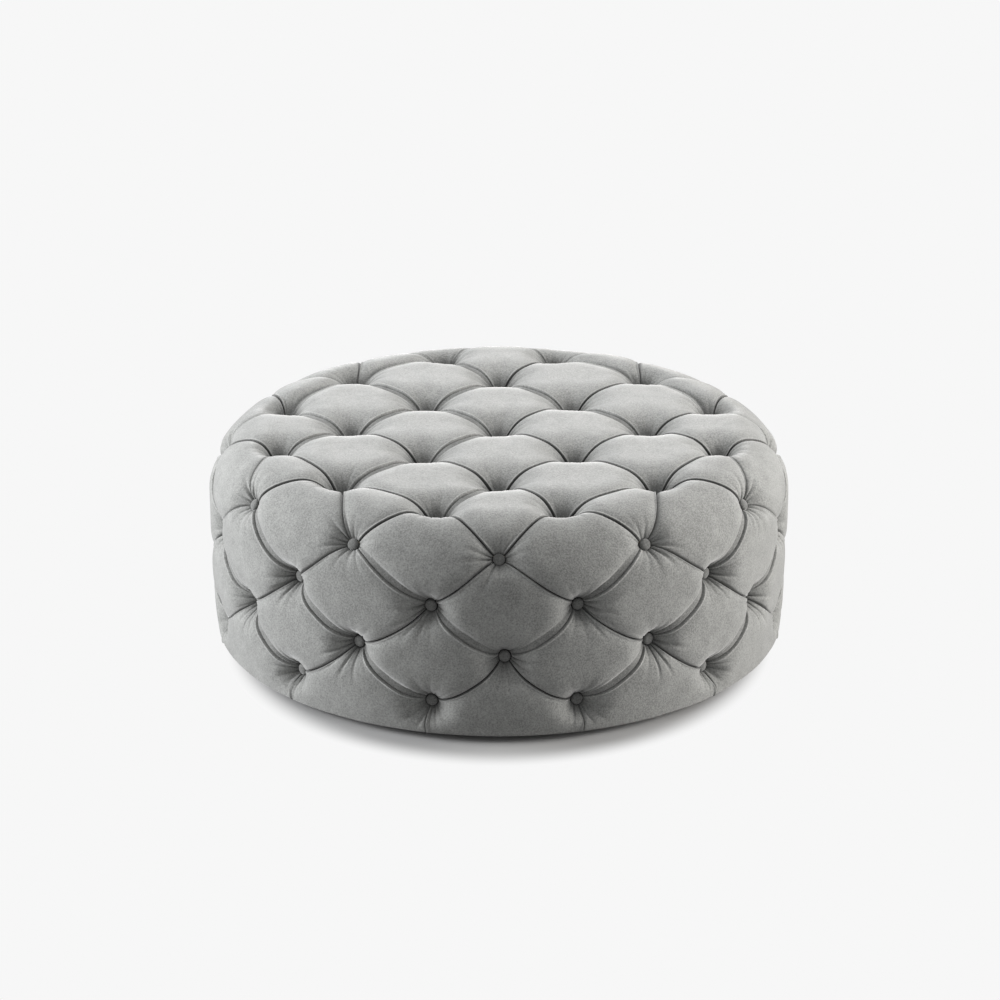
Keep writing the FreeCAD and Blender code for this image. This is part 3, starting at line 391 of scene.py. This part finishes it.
class Edge:
    """One side of a pillow: its line, its depth along the line, and how its pleat lies."""

    def __init__(self, first, second, banded):
        to_hem = second[0] == "hem"
        self.line = hem_crease(first) if to_hem else crease(first, second)
        steps = np.linalg.norm(np.diff(self.line, axis=0), axis=1)
        run = np.concatenate([[0], np.cumsum(steps)])
        length = run[-1]
        if to_hem:
            share = (run - BUTTON_REACH) / (PILLOW_REACH["side"] - BUTTON_REACH)
            slope = slope_depth(share, depth_of(SEATS[first]), 0.0, PILLOW_SLOPE["side"])
            self.depth = slope * off_hem(self.line)
        else:
            near = np.minimum(run, length - run)
            pocket = np.where(run <= length / 2, depth_of(SEATS[first]), depth_of(SEATS[second]))
            share = (near - BUTTON_REACH) / (length / 2 - BUTTON_REACH)
            self.depth = slope_depth(share, pocket, SADDLE, CREASE_SLOPE)
        self.banded = banded
        wide = folds_wide(first, second)
        self.slit = HEM_SLIT if to_hem else (OPEN_SLIT if wide else TIGHT_SLIT)
        width = WIDE_BAND if wide else NARROW_BAND
        self.band = width * np.clip(1 - np.abs(2 * run / length - 1) ** BAND_BLUNTNESS, 0, 1)

    def nearest(self, points):
        """Distance to the line, and the depth and band width at the nearest place on it."""
        starts = self.line[:-1]
        runs = np.diff(self.line, axis=0)
        lengths = (runs ** 2).sum(axis=1)
        best = np.full(points.shape[:-1], np.inf)
        depth = np.zeros(points.shape[:-1])
        band = np.zeros(points.shape[:-1])
        for number, (start, run) in enumerate(zip(starts, runs)):
            share = np.clip(((points - start) @ run) / lengths[number], 0, 1)
            distance = np.linalg.norm(points - start - share[..., None] * run, axis=-1)
            closer = distance < best
            best = np.where(closer, distance, best)
            here = self.depth[number] + (self.depth[number + 1] - self.depth[number]) * share
            width = self.band[number] + (self.band[number + 1] - self.band[number]) * share
            depth = np.where(closer, here, depth)
            band = np.where(closer, width, band)
        return best, depth, band

    def pleat(self, distance, band, roll):
        """The pleat's depth and its painted tone: painted shade on the side of the band, a painted
        highlight on that of the lip.
        """
        if self.banded:
            groove = self.slit * distance / SLIT_WIDTH * np.exp(1 - distance / SLIT_WIDTH)
            dip = BAND_DIP * band / WIDE_BAND * smooth(0, 1, distance / (band + BAND_MARGIN)) * roll
            # Painted shade across the open band
            in_band = smooth(band + BAND_EDGE, BAND_CORE * band, distance)
            return groove + dip, 1 - BAND_SHADE * band / WIDE_BAND * in_band
        # Painted highlight on the raised lip
        lip = np.exp(-(distance / LIP_SPREAD) ** 2) * (1 - np.exp(-(distance / LIP_START) ** 2))
        return -LIP * lip, 1 + LIP_PAINTED_HIGHLIGHT * lip


# The patches of points that cover each pillow
def coons(top, bottom, left, right, across, down):
    """A patch of points inside four border lines, on the smooth drum."""
    u = across[None, :, None]
    v = down[:, None, None]
    rows = (1 - v) * top[None] + v * bottom[None]
    columns = (1 - u) * left[:, None] + u * right[:, None]
    corners = (1 - u) * (1 - v) * top[0] + u * (1 - v) * top[-1]
    corners = corners + (1 - u) * v * bottom[0] + u * v * bottom[-1]
    return envelope(rows + columns - corners)[0]


def four_sided(tufts):
    """One patch over a pillow with four tufts."""
    first, second, third, fourth = tufts
    top = crease(first, second)
    bottom = crease(fourth, third)
    return [coons(top, bottom, crease(first, fourth), crease(second, third), SHARES, SHARES)]


def three_sided(tufts):
    """Three patches, one from each tuft to the middle of its pillow."""
    half = STEPS // 2
    shares = 2 * SHARES[:half + 1]
    lines = [[crease(tuft, other)[:half + 1] for other in tufts if other != tuft] for tuft in tufts]
    ends = [line[-1] for pair in lines for line in pair]
    middle = envelope(sum(ends) / len(ends))[0]
    patches = []
    for top, left in lines:
        bottom, right = (line[-1] + (middle - line[-1]) * shares[:, None] for line in (left, top))
        patches.append(coons(top, bottom, left, right, shares, shares))
    return patches


def hem_pillow(before, above, after):
    """One patch from the lowest creases down to the hem."""
    top = np.concatenate([crease(before, above), crease(above, after)[1:]])
    across = np.concatenate([SHARES, 1 + SHARES[1:]]) / 2
    left = hem_crease(before)
    right = hem_crease(after)
    bottom = envelope(left[-1] + (right[-1] - left[-1]) * across[:, None])[0]
    return coons(top, bottom, left, right, across, SHARES)


# How far the velvet is drawn in
def slow_wave():
    """A wave through the stuffing: its direction, its length and where it starts."""
    return unit(random.normal(size=3)), random.uniform(*WAVE_LENGTHS) * MM, random.uniform(*WAVE_STARTS)


PHASES = {tuft: random.uniform(0, 2 * np.pi) for tuft in SEATS}
WAVES = [slow_wave() for _ in range(WAVE_COUNT)]


def waver(points):
    """Slow unevenness of hand-laid stuffing, from -1 to 1."""
    waves = [np.sin(points @ way * 2 * np.pi / length + start) for way, length, start in WAVES]
    return sum(waves) / len(waves)


def gathers(points, tuft, distance):
    """Small folds that fan out from a button. On the side they are deepest to one hand, a little below."""
    seat, normal = envelope(SEATS[tuft])
    east = east_of(normal)
    north = np.cross(normal, east)
    angle = np.arctan2((points - seat) @ north, (points - seat) @ east)
    strength = smooth(BUTTON_REACH, GATHER_START, distance)
    strength *= np.exp(-np.maximum(0, distance - GATHER_START) / GATHER_FADE)
    strength *= smooth(GATHER_END, GATHER_THINS, distance)
    sideways = GATHER_LEAST
    if normal[2] <= UPRIGHT:
        deepest = -GATHER_DROOP if seat[0] > 0 else np.pi + GATHER_DROOP
        sideways = GATHER_LEAST + (1 - GATHER_LEAST) * (0.5 + 0.5 * np.cos(angle - deepest)) ** 2
    phase = PHASES[tuft]
    uneven = 1 - GATHER_UNEVEN + GATHER_UNEVEN * np.sin(2 * angle + 5 * phase)
    wander = GATHER_WANDER * np.sin(3 * angle + phase)
    fold = np.maximum(0, np.cos(GATHER_COUNT * angle + phase + wander)) ** 2
    return GATHER_DEPTH * strength * sideways * uneven * (fold - GATHER_SWELL)


def drawn_to_buttons(points, tufts):
    """The funnels' depth, the small folds, the painted shade of the ring round each button, and the
    distance to the nearest button.
    """
    ends = np.zeros(points.shape[:-1])
    folds = np.zeros(points.shape[:-1])
    painted_tone = np.ones(points.shape[:-1])
    near = np.full(points.shape[:-1], np.inf)
    for tuft in tufts:
        kind = funnel(tuft)
        distance = np.linalg.norm(points - envelope(SEATS[tuft])[0], axis=-1)
        share = (distance - BUTTON_REACH) / (PILLOW_REACH[kind] - BUTTON_REACH)
        ends += slope_depth(share, depth_of(SEATS[tuft]), 0.0, PILLOW_SLOPE[kind])
        moat = np.exp(-((distance - MOAT_PLACE) / MOAT_WIDTH) ** 2)
        folds += gathers(points, tuft, distance) + MOAT * moat
        # Painted shade in the ring round the button
        painted_tone *= 1 - MOAT_SHADE * moat
        near = np.minimum(near, distance)
    return ends * off_hem(points), folds * off_hem(points), painted_tone, near


def added_up(pleats, off_lines):
    """The pleats' depths together, each one faded out where it meets another crease."""
    total = 0.0
    for number, pleat in enumerate(pleats):
        for other, off_line in enumerate(off_lines):
            if other != number:
                pleat = pleat * off_line
        total = total + pleat
    return total


def sink(points, edges, tufts, fullness):
    """How far below the smooth drum each point of a pillow lies, and its painted tone: painted shade in
    the creases, bands, rings and pits, and a painted highlight on the lips.
    """
    ends, folds, painted_tone, near = drawn_to_buttons(points, tufts)
    clear = np.ones(points.shape[:-1])
    pulled = np.zeros(points.shape[:-1])
    weight = np.full(points.shape[:-1], TINY)
    pleats = []
    off_lines = []
    for edge in edges:
        distance, depth, band = edge.nearest(points)
        inside = np.maximum(0, distance - band) if edge.banded else distance
        roll = 1 - np.sqrt(1 - (1 - np.clip(inside / GROOVE_REACH, 0, 1)) ** 2)
        nearness = roll / (distance ** 2 + LINE_SOFTENING)
        pulled += depth * nearness
        weight += nearness
        clear *= 1 - roll
        pleat, shade = edge.pleat(distance, band, roll)
        pleats.append(pleat)
        off_lines.append(1 - np.exp(-(distance / JOIN_WIDTH) ** 2))
        # Painted shade along the crease line
        painted_tone *= 1 - LINE_SHADE * edge.slit / TIGHT_SLIT * np.exp(-(distance / LINE_WIDTH) ** 2)
        # Painted shade of the band, or painted highlight of the lip
        painted_tone *= shade
    stuffing = (waver(points) * WAVE_HEIGHT * MM - fullness) * clear
    depth = ends + (pulled / weight - ends) * (1 - clear)
    depth = depth + (added_up(pleats, off_lines) * smooth(*PLEAT_FADE, near) + stuffing) + folds
    depth = np.minimum(depth, DEEPEST)
    # Painted shade, darker the deeper the pit
    return depth, painted_tone * (1 - PIT_SHADE * smooth(*PIT_SHARES, depth / DEEPEST))


def dressed(patch, edges, tufts, fullness):
    """The patch drawn in, with its painted shade and highlight as a fourth number at each point."""
    feet, normals = envelope(patch)
    depth, painted_tone = sink(feet, edges, tufts, fullness)
    return np.concatenate([feet - normals * depth[..., None], painted_tone[..., None]], axis=-1)


def hem_roll(line):
    """Rows that carry the hem round its roll and in over the underside."""
    radial = line * [1, 1, 0]
    radial = radial / np.linalg.norm(radial, axis=-1, keepdims=True)
    rows = []
    for step in range(1, HEM_ROLL_STEPS + 1):
        turn = math.pi / 2 * step / HEM_ROLL_STEPS
        row = line - radial * HEM_ROLL * (1 - math.cos(turn))
        row[:, 2] = HEM + HEM_ROLL * (1 - math.sin(turn))
        rows.append(row)
    for reach, height in ((FLANGE_RADIUS, HEM), (0.0, HEM + FLOOR_LIFT)):
        row = radial * reach
        row[:, 2] = height
        rows.append(row)
    return np.array(rows)


def pillow_patches(tufts):
    """The dressed patches of a pillow between three or four tufts."""
    middle = envelope(sum(envelope(SEATS[tuft])[0] for tuft in tufts) / len(tufts))[0]
    pairs = zip(tufts, tufts[1:] + tufts[:1])
    edges = [Edge(first, second, holds_band(first, second, middle)) for first, second in pairs]
    fullness = random.uniform(*FULLNESS) * MM
    patches = four_sided(tufts) if len(tufts) == 4 else three_sided(tufts)
    return [dressed(patch, edges, tufts, fullness) for patch in patches]


def hem_patch(column):
    """The dressed patch below the lowest creases, carried on under the drum."""
    after = (column + 1) % COLUMNS
    tufts = [("lower", column), ("middle", after), ("lower", after)]
    edges = [Edge(tufts[0], tufts[1], False), Edge(tufts[1], tufts[2], False)]
    edges.append(Edge(tufts[0], ("hem", column), column < COLUMNS // 2))
    edges.append(Edge(tufts[2], ("hem", after), after >= COLUMNS // 2))
    patch = dressed(hem_pillow(*tufts), edges, tufts, 0.0)
    under = hem_roll(patch[-1, :, :3])
    under = np.concatenate([under, np.ones(under.shape[:2] + (1,))], axis=-1)
    return np.concatenate([patch, under])


# Meshes
def mesh_piece(name, points, faces, weld=0.0, painted_tones=None):
    """A smooth-shaded mesh object from points and faces, which may keep a painted tone of shade and
    highlight for each point.
    """
    mesh = bpy.data.meshes.new(name)
    mesh.from_pydata([tuple(point) for point in points], [], faces)
    if painted_tones is not None:
        mesh.attributes.new("painted_light_and_shade", "FLOAT", "POINT").data.foreach_set("value", painted_tones)
    if weld:
        shell = bmesh.new()
        shell.from_mesh(mesh)
        bmesh.ops.remove_doubles(shell, verts=shell.verts, dist=weld)
        bmesh.ops.recalc_face_normals(shell, faces=shell.faces)
        shell.to_mesh(mesh)
        shell.free()
    mesh.validate()
    mesh.polygons.foreach_set("use_smooth", [True] * len(mesh.polygons))
    piece = bpy.data.objects.new(name, mesh)
    bpy.context.scene.collection.objects.link(piece)
    return piece


def grid_faces(rows, columns, start):
    """The faces of a grid of points, numbered row by row from the start."""
    faces = []
    for row in range(rows - 1):
        for column in range(columns - 1):
            corner = start + row * columns + column
            faces.append((corner, corner + 1, corner + columns + 1, corner + columns))
    return faces


def make_cover():
    """The whole cover as one closed skin."""
    patches = []
    for tufts in pillow_corners():
        patches += pillow_patches(tufts)
    for column in range(COLUMNS):
        patches.append(hem_patch(column))
    points = []
    faces = []
    for patch in patches:
        faces += grid_faces(patch.shape[0], patch.shape[1], len(points))
        points += list(patch.reshape(-1, 4))
    points = np.array(points)
    painted_tones = points[:, 3].copy()
    return mesh_piece("velvet_cover_dressed", points[:, :3], faces, weld=WELD, painted_tones=painted_tones)


def button_points(seat, spin):
    """A button's points: the middle of its back, the rings of its profile and the tip of its dome."""
    normal = envelope(seat)[1]
    east = east_of(normal)
    north = np.cross(normal, east)
    points = [seat]
    for reach, rise in BUTTON_PROFILE[:-1]:
        for number in range(BUTTON_SEGMENTS):
            angle = 2 * math.pi * number / BUTTON_SEGMENTS
            pucker = 1 - PUCKER * (1 - rise) * (1 + math.cos(PUCKER_COUNT * angle + spin))
            radius = BUTTON_RADIUS * reach * pucker
            out = east * math.cos(angle) + north * math.sin(angle)
            points.append(seat + out * radius + normal * BUTTON_RISE * rise)
    points.append(seat + normal * BUTTON_RISE)
    return points


def button_faces(start):
    """The faces of one button, whose points are numbered from the start."""
    faces = []
    rings = len(BUTTON_PROFILE) - 1
    for number in range(BUTTON_SEGMENTS):
        after = (number + 1) % BUTTON_SEGMENTS
        faces.append((start, start + 1 + after, start + 1 + number))
        for ring in range(rings - 1):
            low = start + 1 + ring * BUTTON_SEGMENTS
            high = low + BUTTON_SEGMENTS
            faces.append((low + number, low + after, high + after, high + number))
        last = start + 1 + (rings - 1) * BUTTON_SEGMENTS
        faces.append((last + number, last + after, start + 1 + rings * BUTTON_SEGMENTS))
    return faces


def make_buttons(node, rows):
    """The covered buttons that stand for one node, from the rows or rings that it holds."""
    points = []
    faces = []
    for tuft, seat in SEATS.items():
        if tuft[0] in rows:
            faces += button_faces(len(points))
            points += button_points(seat, PHASES[tuft])
    piece = mesh_piece(node + "_dressed", points, faces)
    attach(piece, "root")
    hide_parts(node)
    return piece


cover = make_cover()
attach(cover, "root")
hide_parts("velvet_cover", "fibre_fill")
buttons = [make_buttons("seat_buttons", RINGS)]
for row, node in SIDE_NODES.items():
    buttons.append(make_buttons(node, (row,)))

# The velvet: its colour, its sheen, the marks of stroking and the pile's own grain
VELVET_TINT = np.array([0.99, 1.0, 0.972])
VELVET_GREY = 0.31
# The buttons' velvet is painted darker than the cover's, as painted shade for the pits they sit in
BUTTON_GREY_PAINTED_SHADE = VELVET_GREY * 0.62
SHEEN = 0.65
SHEEN_ROUGHNESS = 0.45
STROKE_SCALE = 30
PILE_SCALE = 320
PILE_SHARE = 0.74
PILE_TONES = ((0.36, 0.7), (0.64, 1.3))
PILE_BUMP = 0.85
PILE_HEIGHT = 0.6 * MM

# The black spun-bonded cloth under the base
CLOTH_BLACK = (0.02, 0.02, 0.021)
CLOTH_TONES = ((0.3, (0.012, 0.012, 0.013)), (0.7, (0.035, 0.035, 0.037)))
CLOTH_SCALE = 450
CLOTH_FIBRES = 160
CLOTH_HEIGHT = 0.4 * MM

# The flecks of plain finishes and the grain and pores of wood, which runs long along X
DARK_STOP = 0.35
LIGHT_STOP = 0.65
FLECK_HEIGHT = 0.5 * MM
GRAIN_STRETCH = (1.0, 9.0, 9.0)
PORE_STRETCH = (1.0, 14.0, 14.0)
PORES_PER_GRAIN = 4
PORE_HEIGHT = 0.3 * MM

# Places of a mix node's colour sockets, which share their names with its plain ones
MIX_FACTOR = 0
MIX_FIRST = 6
MIX_SECOND = 7
MIX_RESULT = 2


# Materials
def material(name, colour, roughness=0.6, metallic=0.0, specular=0.5):
    """A new material, its node tree and its shader."""
    finish = bpy.data.materials.new(name)
    finish.use_nodes = True
    shader = finish.node_tree.nodes["Principled BSDF"]
    shader.inputs["Base Color"].default_value = (*colour, 1)
    shader.inputs["Roughness"].default_value = roughness
    shader.inputs["Metallic"].default_value = metallic
    shader.inputs["Specular IOR Level"].default_value = specular
    return finish, finish.node_tree, shader


def noise(tree, scale, detail=2.0, roughness=0.5, stretch=None):
    """Noise in the piece's own coordinates, in metres."""
    place = tree.nodes.new("ShaderNodeTexCoord")
    source = place.outputs["Object"]
    if stretch:
        mapping = tree.nodes.new("ShaderNodeMapping")
        mapping.inputs["Scale"].default_value = stretch
        tree.links.new(source, mapping.inputs["Vector"])
        source = mapping.outputs["Vector"]
    texture = tree.nodes.new("ShaderNodeTexNoise")
    texture.inputs["Scale"].default_value = scale
    texture.inputs["Detail"].default_value = detail
    texture.inputs["Roughness"].default_value = roughness
    tree.links.new(source, texture.inputs["Vector"])
    return texture.outputs["Fac"]


def ramp(tree, source, stops):
    """Colours or greys along a value."""
    node = tree.nodes.new("ShaderNodeValToRGB")
    elements = node.color_ramp.elements
    for number, (place, colour) in enumerate(stops):
        element = elements[number] if number < 2 else elements.new(place)
        element.position = place
        element.color = (*colour, 1)
    tree.links.new(source, node.inputs["Fac"])
    return node.outputs["Color"]


def around(colour, amount):
    """Ramp stops that are darker and lighter than a colour by a share of it."""
    colour = np.array(colour)
    return [(DARK_STOP, colour * (1 - amount)), (LIGHT_STOP, np.minimum(colour * (1 + amount), 1))]


def bumped(tree, shader, source, strength, height):
    """Gives a shader small relief from a value."""
    node = tree.nodes.new("ShaderNodeBump")
    node.inputs["Strength"].default_value = strength
    node.inputs["Distance"].default_value = height
    tree.links.new(source, node.inputs["Height"])
    tree.links.new(node.outputs["Normal"], shader.inputs["Normal"])


def times_painted_tone(tree, colour):
    """The colour times the painted shade and highlight that the cover keeps for each of its points."""
    painted_tone = tree.nodes.new("ShaderNodeAttribute")
    painted_tone.attribute_name = "painted_light_and_shade"
    product = tree.nodes.new("ShaderNodeMix")
    product.data_type = "RGBA"
    product.blend_type = "MULTIPLY"
    product.inputs[MIX_FACTOR].default_value = 1.0
    tree.links.new(colour, product.inputs[MIX_FIRST])
    tree.links.new(painted_tone.outputs["Fac"], product.inputs[MIX_SECOND])
    return product.outputs[MIX_RESULT]


def velvet(name, grey, with_painted_tone=False):
    """Short dense pile: dark face on, pale at a slant, with the marks of stroking hands."""
    finish, tree, shader = material(name, VELVET_TINT * grey, roughness=0.9, specular=0.1)
    shader.inputs["Sheen Weight"].default_value = SHEEN
    shader.inputs["Sheen Roughness"].default_value = SHEEN_ROUGHNESS
    shader.inputs["Sheen Tint"].default_value = (1, 1, 1, 1)
    strokes = noise(tree, STROKE_SCALE, detail=4.0, roughness=0.6)
    pile = noise(tree, PILE_SCALE, detail=2.0, roughness=0.8)
    blend = tree.nodes.new("ShaderNodeMix")
    blend.inputs["Factor"].default_value = PILE_SHARE
    tree.links.new(strokes, blend.inputs["A"])
    tree.links.new(pile, blend.inputs["B"])
    stops = [(place, VELVET_TINT * grey * level) for place, level in PILE_TONES]
    colour = ramp(tree, blend.outputs["Result"], stops)
    # Painted shade in the folds and pits and painted highlights on the lips, for the cover only
    if with_painted_tone:
        colour = times_painted_tone(tree, colour)
    tree.links.new(colour, shader.inputs["Base Color"])
    bumped(tree, shader, pile, strength=PILE_BUMP, height=PILE_HEIGHT)
    return finish


def plain(name, colour, scale, amount, roughness=0.7, metallic=0.0, stretch=None, bump=0.2):
    """A finish with uneven colour and a fine bump from one noise."""
    finish, tree, shader = material(name, colour, roughness=roughness, metallic=metallic)
    fleck = noise(tree, scale, detail=4.0, stretch=stretch)
    tree.links.new(ramp(tree, fleck, around(colour, amount)), shader.inputs["Base Color"])
    bumped(tree, shader, fleck, strength=bump, height=FLECK_HEIGHT)
    return finish


def dust_cloth():
    """Black spun-bonded cloth, embossed with a small grid of points."""
    finish, tree, shader = material("dust_cloth", CLOTH_BLACK, roughness=0.85, specular=0.3)
    place = tree.nodes.new("ShaderNodeTexCoord")
    cells = tree.nodes.new("ShaderNodeTexVoronoi")
    cells.inputs["Scale"].default_value = CLOTH_SCALE
    cells.inputs["Randomness"].default_value = 0.15
    tree.links.new(place.outputs["Object"], cells.inputs["Vector"])
    fibres = noise(tree, CLOTH_FIBRES, detail=6.0, roughness=0.7)
    tree.links.new(ramp(tree, fibres, CLOTH_TONES), shader.inputs["Base Color"])
    bumped(tree, shader, cells.outputs["Distance"], strength=0.5, height=CLOTH_HEIGHT)
    return finish


def wood(name, colour, grain, amount):
    """Planed wood with long grain and small pores."""
    finish, tree, shader = material(name, colour, roughness=0.55, specular=0.35)
    lines = noise(tree, grain, detail=6.0, roughness=0.65, stretch=GRAIN_STRETCH)
    tree.links.new(ramp(tree, lines, around(colour, amount)), shader.inputs["Base Color"])
    pores = noise(tree, grain * PORES_PER_GRAIN, detail=3.0, stretch=PORE_STRETCH)
    bumped(tree, shader, pores, strength=0.25, height=PORE_HEIGHT)
    return finish


def finish_piece(piece, finish):
    """Gives a piece made here its material."""
    piece.data.materials.clear()
    piece.data.materials.append(finish)


def finish_node(node, finish):
    """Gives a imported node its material, on its object and not in its mesh."""
    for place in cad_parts[node].material_slots:
        place.link = "OBJECT"
        place.material = finish


finish_piece(cover, velvet("grey_velvet", VELVET_GREY, with_painted_tone=True))
# Buttons in the darker velvet, with painted shade for their pits
button_velvet = velvet("button_velvet", BUTTON_GREY_PAINTED_SHADE)
for piece in buttons:
    finish_piece(piece, button_velvet)

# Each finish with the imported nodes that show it
FINISHES = (
    (plain("steel", colour=(0.55, 0.55, 0.56), scale=300, amount=0.12,
           roughness=0.35, metallic=1.0, stretch=(1, 1, 6), bump=0.1),
     ("glide_screws", "dust_cover_staples", "hem_staples", "frame_screws_lower", "frame_screws_upper",
      "inner_post_screws", "panel_pins", "twine_tacks", "button_shanks")),
    (plain("black_nylon", colour=(0.025, 0.025, 0.026), scale=900, amount=0.25, roughness=0.5),
     ("glides",)),
    (dust_cloth(),
     ("dust_cover",)),
    (wood("birch_plywood", colour=(0.62, 0.45, 0.28), grain=22, amount=0.16),
     ("base_ring", "seat_board", "side_panel_front", "side_panel_back")),
    (wood("beech", colour=(0.56, 0.34, 0.19), grain=30, amount=0.14),
     ("base_rail_long", "base_rail_cross", "outer_posts", "inner_posts")),
    (plain("cream_foam", colour=(0.82, 0.74, 0.52), scale=420, amount=0.12, roughness=0.95, bump=0.6),
     ("seat_foam", "side_foam")),
    (plain("flax_twine", colour=(0.6, 0.48, 0.3), scale=500, amount=0.3,
           roughness=0.8, stretch=(1, 1, 0.3), bump=0.6),
     ("seat_twines", "side_twines", "shoulder_twines")),
    (plain("white_nylon", colour=(0.75, 0.74, 0.7), scale=700, amount=0.08, roughness=0.45),
     ("seat_toggles", "side_toggles")),
)
for finish, nodes in FINISHES:
    for node in nodes:
        finish_node(node, finish)

# Studio: a pale floor that stays even round the object's shadow, and large soft lamps
FLOOR_REACH = 40.0
FLOOR_GREY = 0.93
FLOOR_LIT = 0.5
FLOOR_BOUNCE = 0.3
EVEN_FROM = 0.5
EVEN_TO = 0.567
SHADOW_SHIFT = (0, 0.07, 0)
SHADOW_SHAPE = (1.08, 1, 1)


def seen_clearly(tree):
    """1 for what the camera sees, straight, mirrored or through glass, and 0 for light on the object."""
    path = tree.nodes.new("ShaderNodeLightPath")
    either = path.outputs["Is Camera Ray"]
    for ray in ("Is Glossy Ray", "Is Transmission Ray"):
        more = tree.nodes.new("ShaderNodeMath")
        more.operation = "MAXIMUM"
        tree.links.new(either, more.inputs[0])
        tree.links.new(path.outputs[ray], more.inputs[1])
        either = more.outputs["Value"]
    return either


def beyond_shadow(tree):
    """0 under the object and close round it, where its shadow falls, and 1 further out."""
    place = tree.nodes.new("ShaderNodeTexCoord")
    shift = tree.nodes.new("ShaderNodeMapping")
    shift.inputs["Location"].default_value = SHADOW_SHIFT
    shift.inputs["Scale"].default_value = SHADOW_SHAPE
    tree.links.new(place.outputs["Object"], shift.inputs["Vector"])
    length = tree.nodes.new("ShaderNodeVectorMath")
    length.operation = "LENGTH"
    tree.links.new(shift.outputs["Vector"], length.inputs[0])
    fade = tree.nodes.new("ShaderNodeMapRange")
    fade.interpolation_type = "SMOOTHSTEP"
    fade.inputs["From Min"].default_value = EVEN_FROM
    fade.inputs["From Max"].default_value = EVEN_TO
    tree.links.new(length.outputs["Value"], fade.inputs["Value"])
    return fade.outputs["Result"]


def mixed(tree, share, first, second):
    """A shader that goes from the first to the second as a share goes from 0 to 1."""
    mix = tree.nodes.new("ShaderNodeMixShader")
    tree.links.new(share, mix.inputs["Fac"])
    tree.links.new(first, mix.inputs[1])
    tree.links.new(second, mix.inputs[2])
    return mix.outputs["Shader"]


def make_floor():
    """A floor that shows the object's shadow and is one even grey around it."""
    corners = [(x * FLOOR_REACH, y * FLOOR_REACH, 0) for x, y in ((-1, -1), (1, -1), (1, 1), (-1, 1))]
    floor = mesh_piece("studio_floor", corners, [(0, 1, 2, 3)])
    bounce = (FLOOR_BOUNCE, FLOOR_BOUNCE, FLOOR_BOUNCE)
    finish, tree, shader = material("studio_floor", bounce, roughness=1.0, specular=0.0)
    lit = tree.nodes.new("ShaderNodeBsdfDiffuse")
    lit.inputs["Color"].default_value = (FLOOR_LIT, FLOOR_LIT, FLOOR_LIT, 1)
    even = tree.nodes.new("ShaderNodeEmission")
    even.inputs["Color"].default_value = (1, 1, 1, 1)
    even.inputs["Strength"].default_value = FLOOR_GREY
    seen = mixed(tree, beyond_shadow(tree), lit.outputs["BSDF"], even.outputs["Emission"])
    surface = mixed(tree, seen_clearly(tree), shader.outputs["BSDF"], seen)
    tree.links.new(surface, tree.nodes["Material Output"].inputs["Surface"])
    finish_piece(floor, finish)


def make_world(seen, fill):
    """A white room: one strength for what the camera sees, and a lower one for light on the object."""
    world = bpy.data.worlds.new("studio")
    world.use_nodes = True
    bpy.context.scene.world = world
    tree = world.node_tree
    background = tree.nodes["Background"]
    background.inputs["Color"].default_value = (1, 1, 1, 1)
    strength = tree.nodes.new("ShaderNodeMapRange")
    strength.inputs["To Min"].default_value = fill
    strength.inputs["To Max"].default_value = seen
    tree.links.new(seen_clearly(tree), strength.inputs["Value"])
    tree.links.new(strength.outputs["Result"], background.inputs["Strength"])


def turned_to(place, target):
    """The rotation of a lamp or camera at a place that looks at a target."""
    return (Vector(target) - Vector(place)).to_track_quat("-Z", "Y").to_euler()


def lamp(name, place, target, size, watts, tint=(1, 1, 1)):
    """A soft rectangular lamp."""
    light = bpy.data.lights.new(name, "AREA")
    light.shape = "RECTANGLE"
    light.size, light.size_y = size
    light.energy = watts
    light.color = tint
    piece = bpy.data.objects.new(name, light)
    piece.location = place
    piece.rotation_euler = turned_to(place, target)
    bpy.context.scene.collection.objects.link(piece)


make_floor()
make_world(seen=FLOOR_GREY, fill=0.37)
lamp("overhead", place=(0, 1.8, 3.7), target=(0, 0.1, 0.3), size=(4.0, 2.4), watts=76)
lamp("left_wall", place=(-3.4, -0.1, 1.1), target=(0, 0, 0.2), size=(1.5, 1.3), watts=141,
     tint=(0.98, 0.99, 1.0))
lamp("right_wall", place=(3.4, -0.1, 1.1), target=(0, 0, 0.2), size=(1.5, 1.3), watts=122,
     tint=(1.0, 0.975, 0.94))

# Camera at the photograph's viewing angle, its lens and sensor in millimetres
CAMERA_LENS = 102.7
CAMERA_SENSOR = 36
CAMERA_PLACE = (0.0017, -5.0693, 2.2641)
CAMERA_TARGET = (0.0017, 0.0, 0.2469)

camera_data = bpy.data.cameras.new("camera")
camera_data.lens = CAMERA_LENS
camera_data.sensor_width = CAMERA_SENSOR
camera = bpy.data.objects.new("camera", camera_data)
camera.location = CAMERA_PLACE
camera.rotation_euler = turned_to(CAMERA_PLACE, CAMERA_TARGET)
bpy.context.scene.collection.objects.link(camera)
bpy.context.scene.camera = camera

bpy.context.scene.view_settings.view_transform = "Standard"
